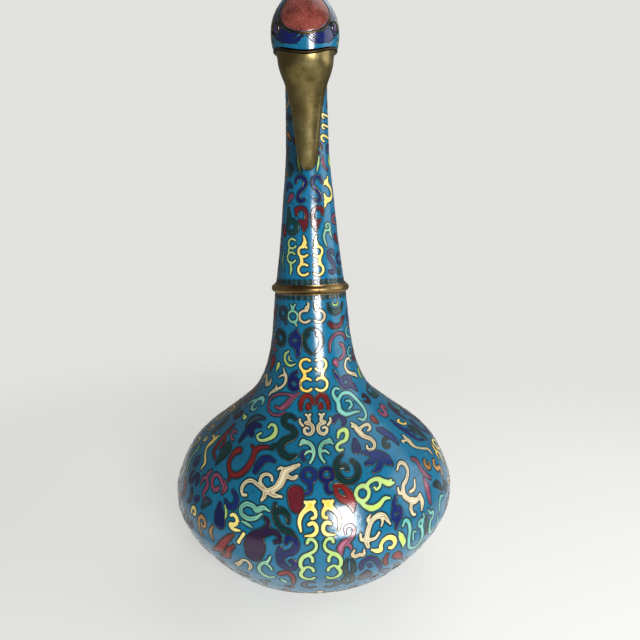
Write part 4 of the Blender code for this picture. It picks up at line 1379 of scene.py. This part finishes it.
def settings():
    return bpy.context.scene.bird_vase


def size_of(name):
    """A size from the settings, in millimetres."""
    return getattr(settings(), name) / MM


# --- operators -------------------------------------------------------------------------


class VASE_OT_ground(bpy.types.Operator):
    """Lay the azure ground over the belly and the neck"""

    bl_idname = "vase.ground"
    bl_label = "Azure ground"

    def execute(self, context):
        joint = RING_HALF + RING_GAP
        body_end, neck_start = RING_HEIGHT - joint, RING_HEIGHT + joint
        ground_skin("belly_ground", BODY_START, body_end, settings().belly_facets, "body_enamel")
        ground_skin("neck_ground", neck_start, ENAMEL_TOP, settings().neck_facets, "neck_enamel")
        return {"FINISHED"}


def slender(colour, strokes):
    """The same strokes, narrower in the pale colours, as they are on the neck."""
    share = NECK_PALE_WIDTH if colour in NECK_PALE else 1
    return [rows * (1, 1, share) for rows in strokes]


def on_head(across, down):
    """Where a place on the head lies: angle, and length along the skin."""
    along = skin_length(HEAD_CENTRE) + down / HEAD_STRETCH
    return 180 - np.degrees(across / skin_radius(along)), along


def lay_fillers(canvas, tries):
    """Fills the ground that is left with small scrolls, the larger ones first."""
    top = skin_length(FILLER_TOP)
    ring = (skin_length(RING_HEIGHT - FILLER_RING_GAP), skin_length(RING_HEIGHT + FILLER_RING_GAP))
    for strokes in FILLERS:
        flats = cell_and_wire(strokes)
        places = np.vstack([coordinates(flat)[::2, :2] for flat in flats[:2]])
        reach = float(np.abs(places).max())
        for _ in range(tries):
            along = canvas.random.uniform(FOOT_BAND_TOP + reach, top)
            angle = canvas.random.uniform(-180, 180)
            turn = canvas.random.uniform(0, math.tau)
            colour = canvas.random.choice(FILLER_COLOURS)
            mirrored = canvas.random.random() < 0.5
            radius = float(skin_radius(along))
            near_ring = ring[0] < along + reach and along - reach < ring[1]
            throat = along > skin_length(BEND_START - BARE_THROAT) and abs(angle) < BARE_THROAT_TURN
            if near_ring or throat or canvas.random.random() * BELLY_RADIUS > radius:
                continue

            def where(across, up, turn=turn, angle=angle, along=along, radius=radius):
                right = across * math.cos(turn) - up * math.sin(turn)
                above = across * math.sin(turn) + up * math.cos(turn)
                return angle + np.degrees(right / radius), along + above

            if canvas.is_taken(*where(-places[:, 0] if mirrored else places[:, 0], places[:, 1])):
                continue
            cells = canvas.cells.setdefault(colour, bmesh.new())
            canvas.lay(flats[0], cells, where, mirrored, canvas.random.random())
            canvas.lay(flats[1], canvas.room(canvas.wires), where, mirrored)
            canvas.lay(flats[2], canvas.room(canvas.shades), where, mirrored)
        for flat in flats:
            bpy.data.meshes.remove(flat)


CURL_RADII = (0.8, 1.7)
CURL_MARGIN = 0.4
CURL_TURN = math.radians(285)
CURL_STEPS = 9
CURL_LOWEST = 6
CURL_BELOW_RING, CURL_ABOVE_RING = 5, 6


def lay_curls(canvas, count):
    """Scatters small wire curls over the ground where no scroll lies."""
    curls = bmesh.new()
    top = skin_length(BEND_START)
    ring = (skin_length(RING_HEIGHT - CURL_BELOW_RING), skin_length(RING_HEIGHT + CURL_ABOVE_RING))
    for _ in range(count):
        along = canvas.random.uniform(CURL_LOWEST, top)
        angle = canvas.random.uniform(-180, 180)
        radius = canvas.random.uniform(*CURL_RADII)
        start = canvas.random.uniform(0, 360)
        reach = skin_radius(along)
        near_ring = ring[0] < along + radius and along - radius < ring[1]
        if canvas.random.random() * BELLY_RADIUS > reach or near_ring:
            continue
        ticks = np.radians(np.arange(0, 360, 30))
        edge = radius + CURL_MARGIN
        rows = np.concatenate([along + share * edge * np.sin(ticks) for share in (0, 0.5, 1)])
        columns = np.concatenate(
            [angle + np.degrees(share * edge * np.cos(ticks) / reach) for share in (0, 0.5, 1)]
        )
        if canvas.is_taken(columns, rows):
            continue
        curl = bmesh.new()
        profile = [curl.verts.new((radius + side * CURL_WIRE, 0, depth)) for side, depth in CURL_PROFILE]
        edges = [curl.edges.new(pair) for pair in zip(profile, profile[1:])]
        bmesh.ops.spin(curl, geom=profile + edges, cent=(0, 0, 0), axis=(0, 0, 1),
                       angle=CURL_TURN, steps=CURL_STEPS, use_duplicate=False)
        bmesh.ops.rotate(curl, verts=curl.verts, cent=(0, 0, 0),
            matrix=Matrix.Rotation(math.radians(start), 3, "Z"))
        curl.normal_update()
        bmesh.ops.reverse_faces(curl, faces=[face for face in curl.faces if face.normal.z < 0])
        flat = bpy.data.meshes.new("curl")
        curl.to_mesh(flat)
        curl.free()
        canvas.lay(flat, curls, lambda across, up: (angle + np.degrees(across / reach), along + up), False)
        bpy.data.meshes.remove(flat)
    return curls


class VASE_OT_scrolls(bpy.types.Operator):
    """Lay the scrolls in their wires over the ground"""

    bl_idname = "vase.scrolls"
    bl_label = "Enamel scrolls and wires"

    def execute(self, context):
        canvas = Canvas(settings().seed)
        front = [(COLUMN_ANGLE, {})]
        belly = [(COLUMN_ANGLE + 120, SECOND_COLOURS), (COLUMN_ANGLE - 120, THIRD_COLOURS)]
        neck = [(COLUMN_ANGLE + 180, SECOND_COLOURS)]
        for colour, strokes in BELLY_COLUMN:
            canvas.scroll(colour, strokes, front + belly, mirrored_too=True)
        for colour, strokes in NECK_COLUMN:
            canvas.scroll(colour, slender(colour, strokes), front + neck, mirrored_too=True)
        for colour, strokes in HEAD_SCROLLS:
            canvas.scroll(colour, strokes, front, mirrored_too=True, angle_of=on_head)
        sides = [(colour, slender(colour, strokes)) for colour, strokes in NECK_SIDES]
        for places, scrolls in ((front, BELLY_LEFT + BELLY_RIGHT + sides),
                                (belly, BELLY_LEFT + BELLY_RIGHT), (neck, sides)):
            for colour, strokes in scrolls:
                canvas.scroll(colour, strokes, places)
        for i in range(FOOT_REPEATS):
            place = [(COLUMN_ANGLE + 360 * i / FOOT_REPEATS, {})]
            canvas.scroll(FOOT_BAND[i % len(FOOT_BAND)], FOOT_SCROLL, place, mirrored_too=True)
            canvas.scroll(FOOT_BAND[(i + 3) % len(FOOT_BAND)], FOOT_DROP, place)
        for along in DOT_ROWS:
            dot = [blob(0, along, DOT_RADIUS)]
            places = [(360 * i / DOT_COUNT, {}) for i in range(DOT_COUNT)]
            canvas.scroll("green", dot, places)
        lay_fillers(canvas, FILLER_TRIES)
        curls = lay_curls(canvas, CURL_TRIES)
        wire = wire_brass()
        make_piece("ground_curls", curls, dull_wire())
        # The ground beside the wires, with their painted shade and copper stain.
        shaded = ground_enamel("azure_wire_shade_and_stain", shaded=True)
        for number, mesh in enumerate(canvas.shades, 1):
            make_piece(f"ground_wire_shade_and_stain_{number}", mesh, shaded)
        for number, mesh in enumerate(canvas.wires, 1):
            make_piece(f"scroll_wires_{number}", mesh, wire)
        for colour, mesh in sorted(canvas.cells.items()):
            make_piece(f"{colour}_cells", mesh, cell_enamel(colour))
        return {"FINISHED"}


class VASE_OT_head(bpy.types.Operator):
    """Set the crown and the eyes in their wires"""

    bl_idname = "vase.head"
    bl_label = "Crown and eyes"

    def execute(self, context):
        make_crown()
        for side, name in ((-1, "left"), (1, "right")):
            make_eye(side, name)
        return {"FINISHED"}


def stand_at(centre, direction):
    """A matrix, in millimetres, that stands a piece made along +Z at centre, along direction."""
    return Matrix.Translation(centre) @ Vector(direction).to_track_quat("Z", "Y").to_matrix().to_4x4()


def turned_places(mesh, stand):
    mesh.transform(stand)
    return coordinates(mesh)


def make_crown():
    """A red cap let into the coat and a round wire, both laid on the skin from the front."""
    direction = np.array([0, -math.cos(CROWN_TILT), math.sin(CROWN_TILT)])
    centre = bend(np.array(0.0), np.array(0.0), np.array(HEAD_CENTRE))
    stand = stand_at(centre, direction)

    rows = [*np.linspace(0, CROWN_RADIUS - 0.6, 16), CROWN_RADIUS - 0.2, CROWN_RADIUS, CROWN_RADIUS]
    dips = [0.0] * 16 + [-0.04, -0.16, -0.9]
    lay_round("crown_inlay", stand, direction, rows, dips, 72, crown_enamel(), "crown_enamel")

    bore = CROWN_RADIUS + 0.15
    wire = [bore, bore, bore + 0.15, bore + 0.5, bore + 0.85, bore + 1.0, bore + 1.0]
    dips = [-0.9, -0.12, 0.0, 0.02, 0.0, -0.12, -0.9]
    lay_round("crown_band", stand, direction, wire, dips, 96, wire_brass(), "crown_wire")


def lay_round(name, stand, direction, rows, dips, steps, material, node):
    """A round piece from radii and heights above the skin, laid on the skin along direction."""
    mesh = spun(list(zip(rows, dips)), steps)
    heights = coordinates(mesh)[:, 2].copy()
    for vertex in mesh.verts:
        vertex.co.z = 0
    places = turned_places(mesh, stand)
    laid = drop_on_skin(places, direction, 0.0)
    move_all(mesh, (laid + heights[:, None] * direction) * MM)
    bmesh.ops.recalc_face_normals(mesh, faces=mesh.faces)
    if sum((face.normal @ Vector(direction)) * face.calc_area() for face in mesh.faces) < 0:
        bmesh.ops.reverse_faces(mesh, faces=mesh.faces)
    return make_piece(name, mesh, material, [node])


def make_eye(side, name):
    """A domed bead in a round wire on one side of the head."""
    radius = float(np.interp(EYE_HEIGHT, SKIN[:, 1], SKIN[:, 0]))
    across, out = side * math.sin(EYE_TURN) * radius, math.cos(EYE_TURN) * radius
    surface = bend(np.array(across), np.array(out), np.array(EYE_HEIGHT))
    core = bend(np.array(0.0), np.array(0.0), np.array(EYE_HEIGHT - EYE_LEAN))
    stand = Matrix.Scale(MM, 4) @ stand_at(surface, surface - core)
    turn = np.linspace(0, math.pi / 2, 9)
    bead = [(EYE_RADIUS * math.sin(t), 1.55 * math.cos(t) - 0.75) for t in turn]
    bead.append((EYE_RADIUS, EYE_BACK))
    mesh = spun(bead, 40)
    mesh.transform(stand)
    make_piece(f"eye_bead_{name}", mesh, eye_enamel(), [f"eye_{name}"])
    middle = EYE_RADIUS + 0.6
    turn = np.linspace(0, math.tau, 12, endpoint=False)
    ring = [(middle + 0.42 * math.cos(t), 0.05 + 0.4 * math.sin(t)) for t in turn]
    mesh = spun(ring, 48, closed=True)
    mesh.transform(stand)
    make_piece(f"eye_ring_{name}", mesh, wire_brass(), [f"eye_wire_{name}"])


class VASE_OT_bill(bpy.types.Operator):
    """Cast the bill's two mandibles and the wire at its root"""

    bl_idname = "vase.bill"
    bl_label = "Brass bill"

    def execute(self, context):
        metal = bill_brass()
        make_mandible("bill_ridge_half", True, metal, "bill_upper")
        make_mandible("bill_throat_half", False, metal, "bill_lower")
        radius = float(np.interp(ENAMEL_TOP, SKIN[:, 1], SKIN[:, 0]))
        turn = np.linspace(0, math.tau, 10, endpoint=False)
        ring = [(radius - 0.55 + 0.55 * math.cos(t), ENAMEL_TOP + 0.65 + 0.42 * math.sin(t)) for t in turn]
        mesh = spun(ring, 96, closed=True)
        x, y, height = draw_to_seam(*coordinates(mesh).T)
        move_all(mesh, bend(x, flatten_throat(y, height), height) * MM)
        bmesh.ops.recalc_face_normals(mesh, faces=mesh.faces)
        make_piece("bill_root_wire", mesh, wire_brass(), ["bill_wire"])
        return {"FINISHED"}


def bill_section(along, turn, ridge):
    """Points of the bill's surface: turn runs from one lip, over the middle, to the other."""
    width = np.interp(along, BILL_CURVE[:, 0], BILL_CURVE[:, 1])
    share = ease(along, 0, BILL_BLEND)
    front = width * (1 + (BILL_FRONT - 1) * share)
    back = width * (THROAT + (BILL_BACK - THROAT) * share)
    down = np.clip(along / BILL_LENGTH, 0, 1)
    opening = (0.3 + (BILL_GAPE - 0.3) * down) / 2
    gape = GAPE_ROOT + (GAPE_TIP - GAPE_ROOT) * down
    if ridge:
        lip = np.arccos(np.clip((gape + opening) / back, -0.96, 0.96))
        angle = lip * turn
        depth = np.cos(angle)
        y = np.where(depth > 0, front, back) * depth
    else:
        lip = np.arccos(np.clip((opening - gape) / back, -0.96, 0.96))
        angle = lip * turn
        y = -back * np.cos(angle)
    return width * np.sin(angle), y


def make_mandible(name, ridge, metal, node):
    """Half of the hollow bill: its outer face, the lip along the gape and the inner wall."""
    mesh = bmesh.new()
    bmesh.ops.create_grid(mesh, x_segments=48, y_segments=90, size=1)
    flat = coordinates(mesh)
    # Rows draw together towards the tip, where the outline closes fast.
    share = (flat[:, 1] + 1) / 2
    along = BILL_LENGTH * (1 - (1 - share) ** 1.35) * 0.9995
    shift_to_seam = seam_shift(*bill_section(along, flat[:, 0], ridge))
    along = along + shift_to_seam * (1 - ease(along, 0, SEAM_REACH))
    x, y = bill_section(along, flat[:, 0], ridge)
    move_all(mesh, np.column_stack([x, y, BILL_ROOT + along]))
    edges = [edge for edge in mesh.edges if edge.is_boundary]
    for inset, drop_in in ((0.10, 0.02), (0.55, 0.0), (0.35, 0.0)):
        grown = bmesh.ops.extrude_edge_only(mesh, edges=edges)["geom"]
        fresh = [part for part in grown if isinstance(part, bmesh.types.BMVert)]
        edges = [part for part in grown if isinstance(part, bmesh.types.BMEdge) and part.is_boundary]
        for vertex in fresh:
            vertex.co.x *= 1 - inset * 0.45
            vertex.co.y += (-drop_in if ridge else drop_in)
            if vertex.co.z > BILL_ROOT + BILL_LENGTH - 8:
                vertex.co.z -= inset * 1.2
    bmesh.ops.holes_fill(mesh, edges=edges, sides=0)
    x, y, height = coordinates(mesh).T
    move_all(mesh, bend(x, y, height) * MM)
    bmesh.ops.remove_doubles(mesh, verts=mesh.verts, dist=1e-6)
    bmesh.ops.recalc_face_normals(mesh, faces=mesh.faces)
    make_piece(name, mesh, metal, [node])


class VASE_OT_mounts(bpy.types.Operator):
    """Turn the neck ring and the foot ring, and finish the pieces inside"""

    bl_idname = "vase.mounts"
    bl_label = "Neck ring, foot and inner pieces"

    def execute(self, context):
        low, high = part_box("neck_ring")
        bore = float(np.interp(RING_HEIGHT, SKIN[:, 1], SKIN[:, 0])) - 0.9
        half = (high.z - low.z) / 2 / MM
        outer = high.x / MM
        turn = np.linspace(math.pi / 2, -math.pi / 2, 17)
        bulge = [(outer - 1.9 + 1.9 * math.cos(t), (half - 1.0) * math.sin(t)) for t in turn]
        shoulder = outer - 2.1
        profile = [(bore, half), (shoulder - 0.1, half), (shoulder, half - 0.25), (shoulder, half - 0.85),
            *bulge,
                   (shoulder, 0.85 - half), (shoulder, 0.25 - half), (shoulder - 0.1, -half), (bore, -half)]
        mesh = spun(profile, 160, closed=True)
        mesh.transform(Matrix.Scale(MM, 4) @ Matrix.Translation((0, 0, RING_HEIGHT)))
        make_piece("neck_moulding", mesh, ring_brass(), ["neck_ring"], crease=50)

        low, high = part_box("foot_ring")
        outer, top = high.x / MM, high.z / MM
        corners = [(FOOT_INNER, top), (FOOT_INNER, 0), (outer - 0.4, 0), (outer, 1), (outer, 2.2),
            (outer - 1.6, 5),
                   (outer - 1, 8.2), (outer - 1, top), (FOOT_INNER, top)]
        mesh = spun(round_profile(corners, 0.7), 160)
        mesh.transform(Matrix.Scale(MM, 4))
        make_piece("foot_rim", mesh, foot_brass(), ["foot_ring"], crease=50)

        low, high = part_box("base_enamel")
        disc = round_profile([(0, high.z / MM), (0, low.z / MM), (high.x / MM, low.z / MM),
                              (high.x / MM, high.z / MM), (0, high.z / MM)], 0.5)
        mesh = spun(disc, 96)
        mesh.transform(Matrix.Scale(MM, 4))
        make_piece("base_disc", mesh, base_enamel(), ["base_enamel"], crease=50)

        metal, lining = copper(), lining_enamel()
        for node in INNER_COPPER:
            NODES[node].data.materials.clear()
            NODES[node].data.materials.append(metal)
        NODES["body_lining"].data.materials.clear()
        NODES["body_lining"].data.materials.append(lining)
        return {"FINISHED"}


class VASE_OT_stage(bpy.types.Operator):
    """Set out the pale floor, the soft lights and the camera"""

    bl_idname = "vase.stage"
    bl_label = "Floor, lights and camera"

    def execute(self, context):
        look = context.scene.bird_vase_stage
        make_floor(look)
        make_world(look)
        target = Vector((0, 0, 0.18))
        make_light("window", look.key_power, (0.24, 0.30), (0.30, -0.78, 0.30), Vector((0, 0, 0.12)))
        make_light("overhead", look.top_power, (1.2, 1.2), (0.5, 0.5, 1.3), target)
        make_light("right_side", look.side_power, (0.9, 1.0), (1.3, -0.1, 0.55), target)
        make_camera(look)
        return {"FINISHED"}


def make_floor(look):
    """A wide round floor, a hair under the foot."""
    mesh = bmesh.new()
    bmesh.ops.create_circle(mesh, cap_ends=True, segments=96, radius=FLOOR_RADIUS)
    data = bpy.data.meshes.new("floor")
    mesh.to_mesh(data)
    mesh.free()
    data.transform(Matrix.Translation((0, 0, -FLOOR_DROP)))
    paint = Paint("pale_floor")
    grain = paint.noise(6, 3)
    colour = paint.mix(grain * 0.12, (0.50, 0.495, 0.48), (0.46, 0.455, 0.44))
    glow = paint.mix(grain * 0.12, tuple(look.backdrop), tuple(share * 0.95 for share in look.backdrop))
    reach = paint.node("ShaderNodeVectorMath", {0: paint.place()}, output="Value", operation="LENGTH")
    fade = 1 - reach.step(FLOOR_FADE, FLOOR_RADIUS)
    surface = {"base_color": colour, "roughness": 0.75}
    light = {"emission_color": glow, "emission_strength": FLOOR_GLOW}
    data.materials.append(paint.finish(alpha=fade, **surface, **light))
    floor = bpy.data.objects.new("floor", data)
    bpy.context.scene.collection.objects.link(floor)


def make_world(look):
    world = bpy.data.worlds.new("studio")
    world.use_nodes = True
    tree = world.node_tree
    around = tree.nodes["Background"]
    around.inputs["Color"].default_value = (*look.backdrop, 1)
    around.inputs["Strength"].default_value = look.ambient
    seen = tree.nodes.new("ShaderNodeBackground")
    seen.inputs["Color"].default_value = (*look.backdrop, 1)
    rays = tree.nodes.new("ShaderNodeLightPath")
    choice = tree.nodes.new("ShaderNodeMixShader")
    tree.links.new(rays.outputs["Is Camera Ray"], choice.inputs["Fac"])
    tree.links.new(around.outputs[0], choice.inputs[1])
    tree.links.new(seen.outputs[0], choice.inputs[2])
    tree.links.new(choice.outputs[0], tree.nodes["World Output"].inputs["Surface"])
    bpy.context.scene.world = world


def make_light(name, power, size, place, target):
    light = bpy.data.lights.new(name, "AREA")
    light.shape = "RECTANGLE"
    light.size, light.size_y = size
    light.energy = power
    lamp = bpy.data.objects.new(name, light)
    lamp.location = place
    lamp.rotation_euler = (target - Vector(place)).to_track_quat("-Z", "Y").to_euler()
    bpy.context.scene.collection.objects.link(lamp)


def make_camera(look):
    """In front and a little to the left, looking slightly down."""
    around, yaw, pitch, roll = (math.radians(angle) for angle in CAMERA_TURNS)
    camera = bpy.data.cameras.new("camera")
    camera.lens = look.lens
    camera.sensor_width = 36
    camera.clip_start = 0.01
    ahead = Vector((-math.sin(around), math.cos(around), 0))
    right = Vector((math.cos(around), math.sin(around), 0))
    heading = ahead * math.cos(yaw) + right * math.sin(yaw)
    side = right * math.cos(yaw) - ahead * math.sin(yaw)
    view = heading * math.cos(pitch) - Vector((0, 0, math.sin(pitch)))
    top = side.cross(view)
    x_axis = side * math.cos(roll) - top * math.sin(roll)
    y_axis = top * math.cos(roll) + side * math.sin(roll)
    holder = bpy.data.objects.new("camera", camera)
    matrix = Matrix((x_axis, y_axis, -view)).transposed().to_4x4()
    matrix.translation = (math.sin(around) * CAMERA_REACH, -math.cos(around) * CAMERA_REACH, CAMERA_HEIGHT)
    holder.matrix_world = matrix
    bpy.context.scene.collection.objects.link(holder)
    bpy.context.scene.camera = holder
    bpy.context.scene.view_settings.view_transform = "Standard"


# --- sidebar and registration ----------------------------------------------------------

STEPS = (VASE_OT_ground, VASE_OT_scrolls, VASE_OT_head, VASE_OT_bill, VASE_OT_mounts, VASE_OT_stage)


class VASE_PT_panel(bpy.types.Panel):
    """Sizes, lights and the operators that make the vase"""

    bl_idname = "VASE_PT_panel"
    bl_label = "Bird vase"
    bl_space_type = "VIEW_3D"
    bl_region_type = "UI"
    bl_category = "Bird vase"

    def draw(self, context):
        for group in (context.scene.bird_vase, context.scene.bird_vase_stage):
            for name in group.bl_rna.properties.keys():
                if name not in {"rna_type", "name"}:
                    self.layout.prop(group, name)
        for step in STEPS:
            self.layout.operator(step.bl_idname)


CLASSES = (VaseSettings, StageSettings, *STEPS, VASE_PT_panel)


def register():
    for made in CLASSES:
        bpy.utils.register_class(made)
    bpy.types.Scene.bird_vase = PointerProperty(type=VaseSettings)
    bpy.types.Scene.bird_vase_stage = PointerProperty(type=StageSettings)


def unregister():
    del bpy.types.Scene.bird_vase_stage
    del bpy.types.Scene.bird_vase
    for made in reversed(CLASSES):
        bpy.utils.unregister_class(made)


def main():
    register()
    for step in STEPS:
        group, name = step.bl_idname.split(".")
        getattr(getattr(bpy.ops, group), name)()


if __name__ == "__main__":
    main()
